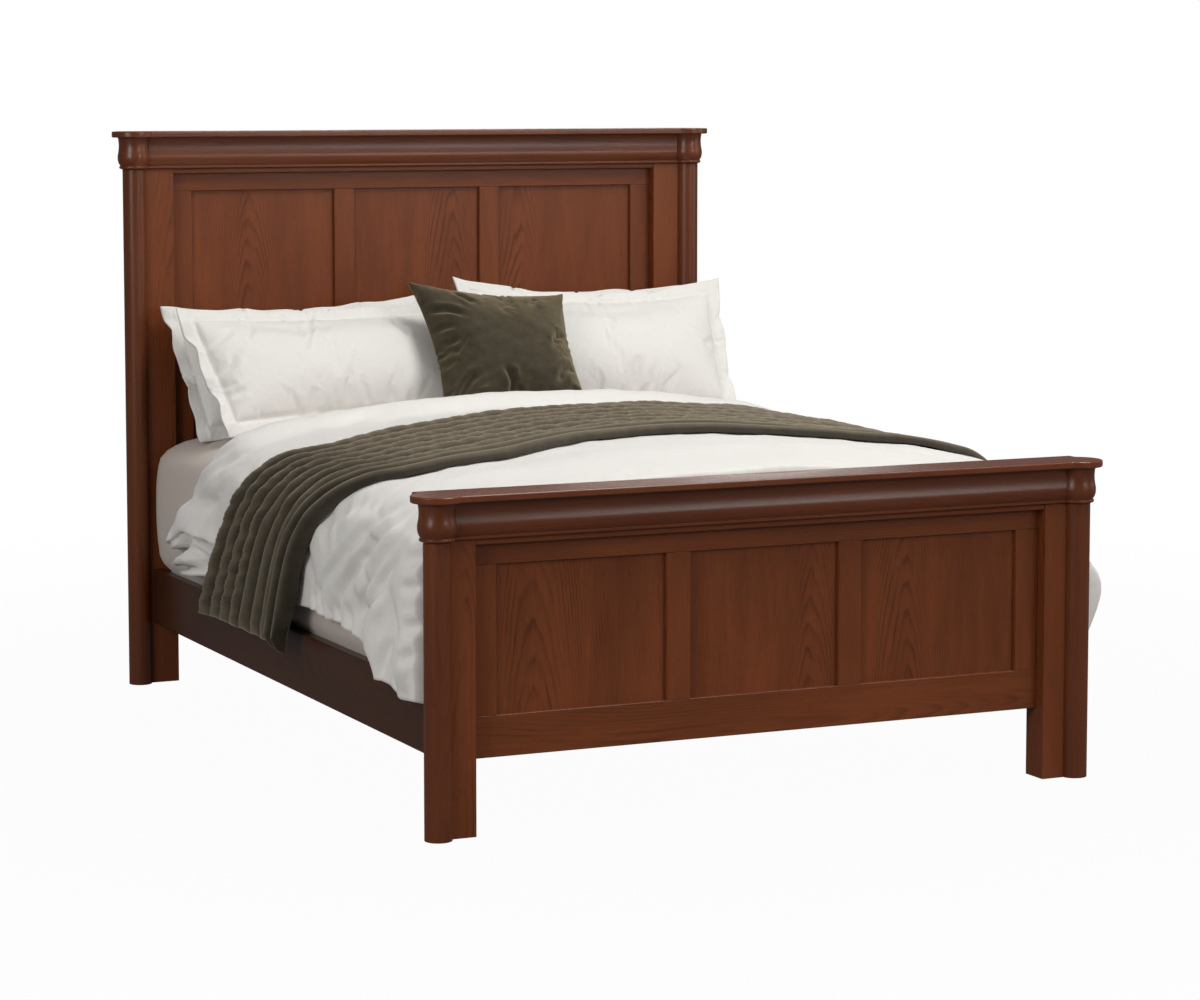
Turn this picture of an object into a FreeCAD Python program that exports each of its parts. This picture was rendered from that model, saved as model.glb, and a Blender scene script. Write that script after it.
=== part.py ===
import FreeCAD, Part
import math
import os
import Sketcher

# A queen-size panel bed. Frame of the part: X runs across the bed, -Y is the foot, +Y is the head,
# +Z is up. The origin is on the floor, under the middle of the bed's outline. All sizes are in mm.

os.makedirs("parts", exist_ok=True)
doc = FreeCAD.newDocument("panel_bed")

driving_sizes = [
    # places of the two boards
    ("foot_face", -1072.7),
    ("head_face", 1047.3),
    ("rail_run", 2046.0),
    # posts, columns and the mouldings on them
    ("post_inner", 725.0),
    ("post_depth", 74.0),
    ("foot_column", 814.0),
    ("head_column", 834.0),
    ("column_radius", 31.0),
    ("column_back", 3.0),
    ("glide_thick", 3.0),
    ("glide_wide", 30.0),
    ("post_edge", 1.5),
    ("foot_cap_low", 744.3),
    ("head_cap_low", 1496.6),
    ("crown_tall", 87.5),
    ("cap_thick", 16.0),
    ("cap_lobe", 58.6),
    ("cap_side", 27.6),
    ("cap_front", 40.0),
    ("cap_rear", 7.0),
    ("cap_notch_round", 10.0),
    ("cap_edge_bevel", 2.2),
    # frame and panels of each board
    ("frieze_show", 11.0),
    ("frieze_recess", 4.0),
    ("frame_recess", 30.0),
    ("frame_thick", 22.0),
    ("top_rail_tall", 48.5),
    ("bottom_rail_low", 169.5),
    ("bottom_rail_tall", 93.5),
    ("stile_wide", 61.0),
    ("muntin_wide", 59.0),
    ("muntin_axis", 219.0),
    ("panel_recess", 11.0),
    ("panel_thick", 6.5),
    ("groove_deep", 9.0),
    ("panel_seat", 8.0),
    ("tenon_long", 25.0),
    ("tenon_thick", 10.0),
    ("tenon_inset", 8.0),
    ("easing", 1.2),
    # side rails and what they carry
    ("rail_outer", 793.0),
    ("rail_thick", 26.0),
    ("rail_low", 168.0),
    ("rail_tall", 150.0),
    ("rail_round", 3.0),
    ("cleat_wide", 30.0),
    ("cleat_tall", 32.0),
    ("cleat_gap", 20.0),
    ("slat_top", 284.0),
    ("slat_thick", 18.0),
    ("slat_wide", 70.0),
    ("slat_first", 60.0),
    ("slat_pitch", 160.5),
    ("slat_play", 2.0),
    ("beam_wide", 60.0),
    ("beam_tall", 66.0),
    ("bracket_sheet", 3.0),
    ("bracket_reach", 45.0),
    ("leg_wide", 50.0),
    ("leg_low", 30.0),
    ("leg_foot_place", 860.0),
    ("leg_head_place", 1480.0),
    ("foot_disc", 20.0),
    ("foot_disc_tall", 8.0),
    ("stem_radius", 5.0),
    ("stem_play", 0.06),
    ("stem_top", 72.0),
    ("stem_hole_top", 90.0),
    # hook plates and cross pins
    ("plate_wide", 20.0),
    ("plate_tall", 118.0),
    ("plate_thick", 3.0),
    ("hook_thick", 3.0),
    ("hook_reach", 18.0),
    ("hook_tall", 30.0),
    ("hook_mouth", 6.4),
    ("hook_throat", 5.0),
    ("hook_offset", 36.0),
    ("slot_wide", 4.2),
    ("slot_deep", 21.0),
    ("slot_tall", 122.0),
    ("pin_radius", 3.0),
    ("pin_long", 42.0),
    # bedding
    ("mattress_half", 788.0),
    ("mattress_foot", 95.0),
    ("mattress_head", 2118.0),
    ("mattress_corner", 90.0),
    ("duvet_side", 825.0),
    ("duvet_shoulder_low", 600.0),
    ("duvet_crown_half", 700.0),
    ("duvet_crown_edge", 742.0),
    ("duvet_crown", 800.0),
    ("duvet_fold_level", 440.0),
    ("duvet_play", 2.5),
    ("duvet_tuck_low", 500.0),
    ("duvet_hem_play", 4.0),
    ("throw_play", 3.0),
    ("throw_hem", 298.0),
    ("throw_right_hem", 430.0),
    ("throw_channels", 7.0),
    ("throw_base", 7.0),
    ("throw_crown", 14.0),
    ("throw_roll", 22.0),
    ("throw_roll_wide", 90.0),
    ("pillow_half_wide", 412.0),
    ("pillow_border", 38.0),
    ("pillow_half_thick", 54.0),
    ("pillow_drawn_in", 16.0),
    ("border_thick", 5.0),
    ("cushion_half", 216.0),
    ("cushion_half_thick", 54.0),
    ("cushion_drawn_in", 16.0),
]

sheet = doc.addObject("Spreadsheet::Sheet", "sizes")
for row, (alias, amount) in enumerate(driving_sizes, start=1):
    sheet.set(f"A{row}", alias)
    sheet.set(f"B{row}", str(amount))
    sheet.setAlias(f"B{row}", alias)
doc.recompute()

subparts = []


def size(expression):
    """The present value of an expression in the sheet's cells, written as sizes.NAME."""
    return float(sheet.evalExpression(expression))


def keep(piece, label):
    """Names a finished sub-part and puts it on the list of those that are written out."""
    piece.Label = label
    subparts.append(piece)
    return piece


def bind(piece, **expressions):
    """Binds properties to the sheet, with x, y and z standing for the place."""
    for name, expression in expressions.items():
        path = f"Placement.Base.{name}" if name in ("x", "y", "z") else name
        piece.setExpression(path, expression)
    return piece


def block(name, x, y, z, length, width, height):
    """A squared piece of timber or a cutter, from its low corner."""
    piece = doc.addObject("Part::Box", name)
    return bind(piece, x=x, y=y, z=z, Length=length, Width=width, Height=height)


def rod(name, x, y, z, radius, height):
    """An upright round piece."""
    piece = doc.addObject("Part::Cylinder", name)
    return bind(piece, x=x, y=y, z=z, Radius=radius, Height=height)


def crosswise_rod(name, x, y, z, radius, length):
    """A round piece that lies along X, from its low end."""
    piece = doc.addObject("Part::Cylinder", name)
    piece.Placement.Rotation = FreeCAD.Rotation(FreeCAD.Vector(0, 1, 0), 90)
    return bind(piece, x=x, y=y, z=z, Radius=radius, Height=length)


def joined(name, pieces):
    """One shape of several pieces."""
    piece = doc.addObject("Part::MultiFuse", name)
    piece.Shapes = pieces
    return piece


def group_of(name, pieces):
    """Several separate solids held as one sub-part."""
    piece = doc.addObject("Part::Compound", name)
    piece.Links = pieces
    return piece


def cut_from(name, base, tool):
    """The base with the tool's volume taken away."""
    piece = doc.addObject("Part::Cut", name)
    piece.Base = base
    piece.Tool = tool
    return piece


def eased(name, base, radius, wanted, kind="Part::Fillet"):
    """Rounds the edges for which wanted(edge) is true, or bevels them."""
    doc.recompute()
    piece = doc.addObject(kind, name)
    piece.Base = base
    amount = size(radius)
    edges = enumerate(base.Shape.Edges, start=1)
    piece.Edges = [(number, amount, amount) for number, edge in edges if wanted(edge)]
    return piece


def new_body(name, y="0", x="0", z="0"):
    """An empty body whose own origin stands at the given place."""
    body = doc.addObject("PartDesign::Body", name)
    return bind(body, x=x, y=y, z=z)


def outline(body, name, plane, corners, bulges=None):
    """A closed sketch through corners given as pairs of expressions. A side listed in bulges by its
    number is an arc through a third point, given in the same way."""
    sketch = body.newObject("Sketcher::SketchObject", name)
    role = plane + "_Plane"
    support = [part for part in body.Origin.OriginFeatures if part.Role == role][0]
    sketch.AttachmentSupport = (support, [""])
    sketch.MapMode = "FlatFace"
    bulges = bulges or {}
    points = [FreeCAD.Vector(size(u), size(v), 0) for u, v in corners]
    sides = range(len(points))
    starts = {}
    for side in sides:
        first = points[side]
        last = points[(side + 1) % len(points)]
        starts[side] = 1
        if side in bulges:
            middle = FreeCAD.Vector(size(bulges[side][0]), size(bulges[side][1]), 0)
            if (middle - first).cross(last - first).z < 0:
                starts[side] = 2
            sketch.addGeometry(Part.Arc(first, middle, last))
        else:
            sketch.addGeometry(Part.LineSegment(first, last))
    radii = {side: sketch.Geometry[side].Radius for side in bulges}
    for side in sides:
        following = (side + 1) % len(points)
        ends = (side, 3 - starts[side], following, starts[following])
        sketch.addConstraint(Sketcher.Constraint("Coincident", *ends))
    for side, (u, v) in enumerate(corners):
        across = Sketcher.Constraint("DistanceX", side, starts[side], points[side].x)
        upward = Sketcher.Constraint("DistanceY", side, starts[side], points[side].y)
        sketch.setExpression(f"Constraints[{sketch.addConstraint(across)}]", u)
        sketch.setExpression(f"Constraints[{sketch.addConstraint(upward)}]", v)
    for side, radius in radii.items():
        sketch.addConstraint(Sketcher.Constraint("Radius", side, radius))
    return sketch


def padded_profile(body, name, profile, length, both_ways=True, backwards=False):
    """A straight run of the profile."""
    pad = body.newObject("PartDesign::Pad", name)
    pad.Profile = profile
    pad.SideType = "Symmetric" if both_ways else "One side"
    pad.Reversed = backwards
    pad.setExpression("Length", length)
    return pad


def rectangle(u0, v0, u1, v1):
    """Four corners of a rectangle, anticlockwise."""
    return [(u0, v0), (u1, v0), (u1, v1), (u0, v1)]


def along(edge, direction):
    """True for a straight edge that runs in the direction."""
    if edge.Curve.TypeId != "Part::GeomLine":
        return False
    return abs(abs(edge.Curve.Direction.dot(direction)) - 1.0) < 0.001


UP = FreeCAD.Vector(0, 0, 1)

# The moulding's section, as pairs of how far it stands out and how far it lies below the cap:
# a shallow cove, which is an arc, a broad bulge, a bead and a small cove.
crown_steps = [
    (11.5, 0.0),
    (10.9, 41.0),
    (12.6, 50.0),
    (12.5, 60.0),
    (10.3, 69.0),
    (5.6, 76.5),
    (8.4, 78.3),
    (8.4, 82.7),
    (5.6, 84.5),
    (2.0, 85.4),
    (0.0, 87.5),
]
crown_bulges = {0: (9.0, 21.0)}


def moulding_corners(stand, cap_low, back):
    """The moulding's outline, with stand turning how far it stands out into a coordinate."""
    corners = [(stand(out), f"{cap_low} - {down}") for out, down in crown_steps]
    if abs(size(stand(0.0)) - size(back)) > 0.001:
        corners.append((back, f"{cap_low} - sizes.crown_tall"))
    corners.append((back, cap_low))
    bulges = {side: (stand(out), f"{cap_low} - {down}") for side, (out, down) in crown_bulges.items()}
    return corners, bulges


def make_board(board, face, column, cap_low):
    """All the pieces of one board. Its posts' front faces lie in the plane y = face."""
    face = f"sizes.{face}"
    column = f"sizes.{column}"
    cap_low = f"sizes.{cap_low}"
    crown_low = f"{cap_low} - sizes.crown_tall"
    frieze_low = f"{crown_low} - sizes.frieze_show"
    top_rail_low = f"{frieze_low} - sizes.top_rail_tall"
    rail_side = 1 if board == "footboard" else -1

    make_columns_and_capitals(board, face, column, cap_low, crown_low)
    make_crown(board, face, column, cap_low)
    make_cap(board, face, column, cap_low)
    make_rails(board, face, cap_low, frieze_low, top_rail_low)
    make_uprights(board, face, top_rail_low)
    make_panels(board, face, top_rail_low)
    make_posts(board, face, column, cap_low, frieze_low, top_rail_low, rail_side)


def column_notch(board, side, face, column, low, high):
    """The quarter that a column or capital gives up to the post behind it."""
    x = f"{column} - 100" if side > 0 else f"-{column}"
    return block(f"{board}_notch", x, face, low, "100", "100", f"{high} - ({low})")


def make_columns_and_capitals(board, face, column, cap_low, crown_low):
    capitals = []
    for side, hand in ((-1, "left"), (1, "right")):
        x = f"{side} * {column}"
        y = f"{face} + sizes.column_back"
        shaft = rod(f"{board}_shaft", x, y, "sizes.glide_thick", "sizes.column_radius",
                    f"{crown_low} - sizes.glide_thick")
        notch = column_notch(board, side, face, column, "0", crown_low)
        keep(cut_from("column", shaft, notch), f"{board}_column_{hand}")

        turning = new_body(f"{board}_turning_{hand}", x=x, y=y)
        corners, bulges = moulding_corners(lambda out: f"sizes.column_radius + {out}", cap_low, "0")
        section = outline(turning, "capital_section", "XZ", corners, bulges)
        spin = turning.newObject("PartDesign::Revolution", "capital_spin")
        spin.Profile = section
        spin.ReferenceAxis = (section, ["V_Axis"])
        spin.Angle = 360.0
        notch = column_notch(board, side, face, column, crown_low, cap_low)
        capitals.append(cut_from(f"{board}_capital", turning, notch))
    keep(group_of("capital_pair", capitals), f"{board}_capitals")


def make_crown(board, face, column, cap_low):
    strip = new_body(f"{board}_crown_strip", y=face)
    corners, bulges = moulding_corners(lambda out: f"-{out}", cap_low, "sizes.frieze_recess")
    section = outline(strip, "crown_section", "YZ", corners, bulges)
    padded_profile(strip, "crown_run", section, f"2 * {column}")
    posts = []
    turnings = []
    returns = []
    for side, hand in ((-1, "left"), (1, "right")):
        low_x = "sizes.post_inner" if side > 0 else f"-{column}"
        low_z = f"{cap_low} - sizes.crown_tall - 1"
        posts.append(block(f"{board}_cope", low_x, face, low_z, f"{column} - sizes.post_inner",
                           "sizes.post_depth", "sizes.crown_tall + 2"))
        turning = doc.getObject(f"{board}_turning_{hand}")
        turnings.append(turning)
        piece = new_body(f"{board}_return_{hand}", x=f"{side} * {column}", y=face)
        corners, bulges = moulding_corners(lambda out: f"{side} * {out}", cap_low, "0")
        section = outline(piece, "return_section", "XZ", corners, bulges)
        padded_profile(piece, "return_run", section, "sizes.post_depth", False, True)
        returns.append(cut_from(f"{board}_return_cut_{hand}", piece, turning))
    tools = joined(f"{board}_crown_tools", posts + turnings)
    keep(cut_from("crown", strip, tools), f"{board}_crown_moulding")
    keep(group_of("returns", returns), f"{board}_crown_returns")


def make_cap(board, face, column, cap_low):
    half = f"{column} + sizes.cap_side"
    slab = block(f"{board}_cap_slab", f"-({half})", f"{face} - sizes.cap_front", cap_low, f"2 * ({half})",
                 "sizes.cap_front + sizes.post_depth + sizes.cap_rear", "sizes.cap_thick")
    lobes = [
        rod(f"{board}_lobe", f"{side} * {column}", f"{face} + sizes.column_back", cap_low,
            "sizes.cap_lobe", "sizes.cap_thick")
        for side in (-1, 1)
    ]
    plain = joined(f"{board}_cap_plain", [slab] + lobes)
    front = size(f"{face} - sizes.cap_front")
    back = size(f"{face} + sizes.post_depth + sizes.cap_rear")

    def at_notch(edge):
        middle = edge.CenterOfMass
        return along(edge, UP) and middle.y < back - 1.0 and middle.y > front - 1.0

    rounded = eased(f"{board}_cap_notched", plain, "sizes.cap_notch_round", at_notch)

    def on_rim(edge):
        return edge.BoundBox.ZLength < 0.001

    keep(eased("cap", rounded, "sizes.cap_edge_bevel", on_rim, "Part::Chamfer"), f"{board}_cap")


def make_rails(board, face, cap_low, frieze_low, top_rail_low):
    frame_back = "sizes.frame_recess + sizes.frame_thick"
    groove_front = "sizes.frame_recess + sizes.panel_recess"
    groove_back = f"{groove_front} + sizes.panel_thick"
    bottom_high = "sizes.bottom_rail_low + sizes.bottom_rail_tall"
    frieze = rectangle("sizes.frieze_recess", frieze_low, frame_back, cap_low)
    top = [
        ("sizes.frame_recess", top_rail_low),
        (groove_front, top_rail_low),
        (groove_front, f"{top_rail_low} + sizes.groove_deep"),
        (groove_back, f"{top_rail_low} + sizes.groove_deep"),
        (groove_back, top_rail_low),
        (frame_back, top_rail_low),
        (frame_back, frieze_low),
        ("sizes.frame_recess", frieze_low),
    ]
    bottom = [
        ("sizes.frame_recess", "sizes.bottom_rail_low"),
        (frame_back, "sizes.bottom_rail_low"),
        (frame_back, bottom_high),
        (groove_back, bottom_high),
        (groove_back, f"{bottom_high} - sizes.groove_deep"),
        (groove_front, f"{bottom_high} - sizes.groove_deep"),
        (groove_front, bottom_high),
        ("sizes.frame_recess", bottom_high),
    ]
    rails = (
        ("frieze_rail", frieze, frieze_low, cap_low, "sizes.frieze_recess"),
        ("top_rail", top, top_rail_low, frieze_low, "sizes.frame_recess"),
        ("bottom_rail", bottom, "sizes.bottom_rail_low", bottom_high, "sizes.frame_recess"),
    )
    for name, corners, low, high, front in rails:
        body = new_body(f"{board}_{name}", y=face)
        section = outline(body, f"{name}_section", "YZ", corners)
        padded_profile(body, f"{name}_run", section, "2 * sizes.post_inner")
        tenon_low, tenon_high, tenon_front, tenon_back = tenon_span(low, high)
        tenon = outline(body, f"{name}_tenon_section", "YZ",
                        rectangle(tenon_front, tenon_low, tenon_back, tenon_high))
        run = padded_profile(body, f"{name}_tenons", tenon, "2 * (sizes.post_inner + sizes.tenon_long)")
        ease_front(body, run, size(front))
        keep(body, f"{board}_{name}")


def tenon_span(low, high):
    """Low and high, front and back of a rail's tenon, which stands behind the panels' grooves."""
    front = "sizes.frame_recess + sizes.frame_thick - sizes.tenon_thick"
    back = "sizes.frame_recess + sizes.frame_thick - 2"
    inset = "sizes.tenon_inset + 4"
    return f"{low} + {inset}", f"{high} - ({inset})", front, back


def ease_front(body, feature, front):
    """Takes the sharpness off the long front edges of a frame member."""
    doc.recompute()
    names = []
    for number, edge in enumerate(feature.Shape.Edges, start=1):
        box = edge.BoundBox
        at_front = abs(box.YMin - front) < 0.01 and box.YLength < 0.01
        if at_front and edge.Length > 100.0:
            names.append(f"Edge{number}")
    chamfer = body.newObject("PartDesign::Chamfer", "eased_edges")
    chamfer.Base = (feature, names)
    chamfer.setExpression("Size", "sizes.easing")


def make_uprights(board, face, top_rail_low):
    """Stiles beside the posts and muntins between the panels, with grooves for the panels and
    stub tenons that fill the rails' grooves."""
    bottom_high = "sizes.bottom_rail_low + sizes.bottom_rail_tall"
    groove_front = "sizes.frame_recess + sizes.panel_recess"
    groove_back = f"{groove_front} + sizes.panel_thick"
    frame_back = "sizes.frame_recess + sizes.frame_thick"
    members = (
        ("stiles", "sizes.post_inner - sizes.stile_wide", "sizes.post_inner", False),
        ("muntins", "sizes.muntin_axis - sizes.muntin_wide / 2",
         "sizes.muntin_axis + sizes.muntin_wide / 2", True),
    )
    for name, inner, outer, grooved_twice in members:
        pair = []
        for side in (-1, 1):
            body = new_body(f"{board}_{name}_member", y=face, z=bottom_high)
            near = f"{side} * ({inner})"
            near_groove = f"{side} * ({inner} + sizes.groove_deep)"
            far = f"{side} * ({outer})"
            far_groove = f"{side} * ({outer} - sizes.groove_deep)"
            corners = [
                (near, "sizes.frame_recess"),
                (near, groove_front),
                (near_groove, groove_front),
                (near_groove, groove_back),
                (near, groove_back),
                (near, frame_back),
                (far, frame_back),
            ]
            if grooved_twice:
                corners += [
                    (far, groove_back),
                    (far_groove, groove_back),
                    (far_groove, groove_front),
                    (far, groove_front),
                ]
            corners.append((far, "sizes.frame_recess"))
            section = outline(body, f"{name}_section", "XY", corners)
            run = padded_profile(body, f"{name}_run", section, f"{top_rail_low} - ({bottom_high})", False)
            ease_front(body, run, size("sizes.frame_recess"))
            stub_inner = near_groove
            stub_outer = far_groove if grooved_twice else far
            stub = block(f"{board}_{name}_stub", "0", face, f"{bottom_high} - sizes.groove_deep", "1",
                         "sizes.panel_thick", f"{top_rail_low} - ({bottom_high}) + 2 * sizes.groove_deep")
            low_x = stub_inner if side > 0 else stub_outer
            high_x = stub_outer if side > 0 else stub_inner
            bind(stub, x=low_x, y=f"{face} + {groove_front}", Length=f"{high_x} - ({low_x})")
            pair.append(joined(f"{board}_{name}_whole", [body, stub]))
        keep(group_of(name, pair), f"{board}_{name}")


def make_panels(board, face, top_rail_low):
    bottom_high = "sizes.bottom_rail_low + sizes.bottom_rail_tall"
    low = f"{bottom_high} - sizes.panel_seat"
    tall = f"{top_rail_low} - ({bottom_high}) + 2 * sizes.panel_seat"
    front = f"{face} + sizes.frame_recess + sizes.panel_recess"
    near = "sizes.muntin_axis + sizes.muntin_wide / 2 - sizes.panel_seat"
    far = "sizes.post_inner - sizes.stile_wide + sizes.panel_seat"
    middle = "sizes.muntin_axis - sizes.muntin_wide / 2 + sizes.panel_seat"
    spans = (
        ("left", f"-({far})", f"{far} - ({near})"),
        ("centre", f"-({middle})", f"2 * ({middle})"),
        ("right", near, f"{far} - ({near})"),
    )
    for place, x, length in spans:
        piece = block(f"{board}_panel", x, front, low, length, "sizes.panel_thick", tall)
        keep(piece, f"{board}_panel_{place}")


def make_posts(board, face, column, cap_low, frieze_low, top_rail_low, rail_side):
    """Square posts with mortises for the rails' tenons, a slot for the side rail's hooks and the
    holes of the two cross pins."""
    bottom_high = "sizes.bottom_rail_low + sizes.bottom_rail_tall"
    slot_x = "sizes.rail_outer - sizes.rail_thick / 2"
    slot_low = "sizes.rail_low + sizes.rail_tall / 2 - sizes.slot_tall / 2"
    slot_y = f"{face} + sizes.post_depth - sizes.slot_deep" if rail_side > 0 else face
    for side, hand in ((-1, "left"), (1, "right")):
        x = "sizes.post_inner" if side > 0 else f"-{column}"
        timber = block(f"{board}_post_timber", x, face, "sizes.glide_thick", f"{column} - sizes.post_inner",
                       "sizes.post_depth", f"{cap_low} - sizes.glide_thick")
        inner = side * size("sizes.post_inner")

        def is_inner_arris(edge):
            return along(edge, UP) and abs(edge.CenterOfMass.x - inner) < 0.01

        smooth = eased(f"{board}_post_eased", timber, "sizes.post_edge", is_inner_arris)
        cutters = []
        levels = (
            (frieze_low, cap_low),
            (top_rail_low, frieze_low),
            ("sizes.bottom_rail_low", bottom_high),
        )
        for low, high in levels:
            tenon_low, tenon_high, front, back = tenon_span(low, high)
            mortise_x = "sizes.post_inner - 5" if side > 0 else "-sizes.post_inner - sizes.tenon_long"
            cutters.append(block(f"{board}_mortise", mortise_x, f"{face} + {front}", tenon_low,
                                 "sizes.tenon_long + 5", f"{back} - ({front})",
                                 f"{tenon_high} - ({tenon_low})"))
        centre_x = f"{side} * ({slot_x})"
        cutters.append(block(f"{board}_hook_slot", f"{centre_x} - sizes.slot_wide / 2", slot_y, slot_low,
                             "sizes.slot_wide", "sizes.slot_deep", "sizes.slot_tall"))
        for pin in pins_of(board, face, side, rail_side, "pin_hole"):
            cutters.append(pin)
        tools = joined(f"{board}_post_tools", cutters)
        keep(cut_from("post", smooth, tools), f"{board}_post_{hand}")


def pins_of(board, face, side, rail_side, name):
    """The two cross pins of one post, which the side rail's hooks drop over."""
    contact = f"{face} + sizes.post_depth" if rail_side > 0 else face
    depth = "sizes.hook_throat + sizes.hook_mouth / 2"
    middle = "sizes.rail_low + sizes.rail_tall / 2"
    centre_x = f"{side} * (sizes.rail_outer - sizes.rail_thick / 2)"
    pins = []
    for level in (-1, 1):
        z = f"{middle} + {level} * sizes.hook_offset - sizes.pin_radius - 0.2"
        pins.append(crosswise_rod(f"{board}_{name}", f"{centre_x} - sizes.pin_long / 2",
                                  f"{contact} - {rail_side} * ({depth})", z, "sizes.pin_radius",
                                  "sizes.pin_long"))
    return pins


def make_side_rails():
    """Long rails with rounded outer edges, let in at both ends for the hook plates."""
    rear = "sizes.foot_face + sizes.post_depth"
    for side, hand in ((-1, "left"), (1, "right")):
        body = new_body(f"side_rail_{hand}_blank", y=rear)
        outer = f"{side} * sizes.rail_outer"
        inner = f"{side} * (sizes.rail_outer - sizes.rail_thick)"
        high = "sizes.rail_low + sizes.rail_tall"
        section = outline(body, "rail_section", "XZ", rectangle(outer, "sizes.rail_low", inner, high))
        run = padded_profile(body, "rail_run", section, "sizes.rail_run", False, True)
        doc.recompute()
        outer_x = size(outer)
        names = []
        for number, edge in enumerate(run.Shape.Edges, start=1):
            if edge.Length > 1000.0 and abs(edge.CenterOfMass.x - outer_x) < 0.01:
                names.append(f"Edge{number}")
        rounding = body.newObject("PartDesign::Fillet", "rounded_arrises")
        rounding.Base = (run, names)
        rounding.setExpression("Radius", "sizes.rail_round")
        centre_x = f"{side} * (sizes.rail_outer - sizes.rail_thick / 2)"
        low = "sizes.rail_low + sizes.rail_tall / 2 - sizes.plate_tall / 2"
        recesses = [
            block("plate_recess", f"{centre_x} - sizes.plate_wide / 2", y, low, "sizes.plate_wide",
                  "sizes.plate_thick", "sizes.plate_tall")
            for y in (rear, "sizes.head_face - sizes.plate_thick")
        ]
        keep(cut_from("side_rail", body, joined("plate_recesses", recesses)), f"side_rail_{hand}")


def make_hook_plates():
    """Four plates let into the rails' ends, each with two hooks that drop over the cross pins."""
    plates = []
    pins = []
    middle = "sizes.rail_low + sizes.rail_tall / 2"
    for side in (-1, 1):
        centre_x = f"{side} * (sizes.rail_outer - sizes.rail_thick / 2)"
        for face, rail_side in (("sizes.foot_face", 1), ("sizes.head_face", -1)):
            contact = f"{face} + sizes.post_depth" if rail_side > 0 else face
            body = new_body("hook_plate", x=centre_x, y=contact, z=middle)
            flat = outline(body, "plate_outline", "XZ",
                           rectangle("-sizes.plate_wide / 2", "-sizes.plate_tall / 2",
                                     "sizes.plate_wide / 2", "sizes.plate_tall / 2"))
            padded_profile(body, "plate", flat, "sizes.plate_thick", False, rail_side > 0)
            for level in (-1, 1):
                hook = outline(body, "hook_outline", "YZ", hook_corners(rail_side, level))
                padded_profile(body, "hook", hook, "sizes.hook_thick")
            plates.append(body)
            pins += pins_of("frame", face, side, rail_side, "cross_pin")
    keep(group_of("hook_plates", plates), "rail_hook_plates")
    keep(group_of("cross_pins", pins), "post_cross_pins")


def hook_corners(rail_side, level):
    """A blade that reaches into the post, with a mouth that opens downwards over its pin. It goes in
    from the rail's end face, so it reaches away from the rail."""
    def at(reach, height):
        return f"{-rail_side} * ({reach})", f"{level} * sizes.hook_offset + {height}"
    tip = "sizes.hook_reach"
    far = "sizes.hook_throat + sizes.hook_mouth"
    return [
        at("-1", "12"),
        at("sizes.hook_throat", "12"),
        at(tip, "5"),
        at(tip, "5 - sizes.hook_tall / 2"),
        at(far, "5 - sizes.hook_tall / 2"),
        at(far, "0"),
        at("sizes.hook_throat", "0"),
        at("sizes.hook_throat", "-12"),
        at("-1", "-12"),
    ]


def make_deck():
    """Cleats, slats, centre beam with brackets, and centre legs with levelling feet."""
    rear = "sizes.foot_face + sizes.post_depth"
    slat_low = "sizes.slat_top - sizes.slat_thick"
    cleat_low = f"{slat_low} - sizes.cleat_tall"
    rail_inner = "sizes.rail_outer - sizes.rail_thick"
    for side, hand in ((-1, "left"), (1, "right")):
        x = f"{rail_inner} - sizes.cleat_wide" if side > 0 else f"-({rail_inner})"
        timber = block("cleat_timber", x, f"{rear} + sizes.cleat_gap", cleat_low, "sizes.cleat_wide",
                       "sizes.rail_run - 2 * sizes.cleat_gap", "sizes.cleat_tall")
        inner = size(f"{side} * ({rail_inner} - sizes.cleat_wide)")

        def is_lower_inner(edge):
            middle = edge.CenterOfMass
            return edge.Length > 500 and abs(middle.x - inner) < 0.01 and middle.z < size(slat_low) - 5.0

        keep(eased("cleat", timber, "sizes.post_edge * 2", is_lower_inner), f"slat_cleat_{hand}")

    half = f"{rail_inner} - sizes.slat_play"
    slats = []
    for number in range(13):
        y = f"{rear} + sizes.slat_first - sizes.slat_wide / 2 + {number} * sizes.slat_pitch"
        slats.append(block("slat", f"-({half})", y, slat_low, f"2 * ({half})", "sizes.slat_wide",
                           "sizes.slat_thick"))
    keep(group_of("slat_row", slats), "slats")

    beam_start = "sizes.foot_face + sizes.frame_recess + sizes.frame_thick"
    beam_end = "sizes.head_face + sizes.frame_recess"
    beam_low = f"{slat_low} - sizes.beam_tall"
    keep(block("beam", "-sizes.beam_wide / 2", f"{beam_start} + sizes.bracket_sheet", beam_low,
               "sizes.beam_wide", f"{beam_end} - ({beam_start}) - 2 * sizes.bracket_sheet",
               "sizes.beam_tall"), "centre_beam")
    brackets = [
        make_bracket("foot_bracket", beam_start, 1, beam_low),
        make_bracket("head_bracket", beam_end, -1, beam_low),
    ]
    keep(group_of("brackets", brackets), "centre_beam_brackets")

    legs = []
    for place, name in (("sizes.leg_foot_place", "foot"), ("sizes.leg_head_place", "head")):
        y = f"sizes.foot_face + {place}"
        leg = block("leg_timber", "-sizes.leg_wide / 2", f"{y} - sizes.leg_wide / 2", "sizes.leg_low",
                    "sizes.leg_wide", "sizes.leg_wide", f"{beam_low} - sizes.leg_low")
        shaped = eased("leg_eased", leg, "sizes.rail_round", lambda edge: along(edge, UP), "Part::Chamfer")
        hole = rod("stem_hole", "0", y, "sizes.leg_low - 1", "sizes.stem_radius + sizes.stem_play",
                   "sizes.stem_hole_top - sizes.leg_low + 1")
        legs.append(cut_from("leg", shaped, hole))
        make_levelling_foot(name, y)
    keep(group_of("legs", legs), "centre_legs")


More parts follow.
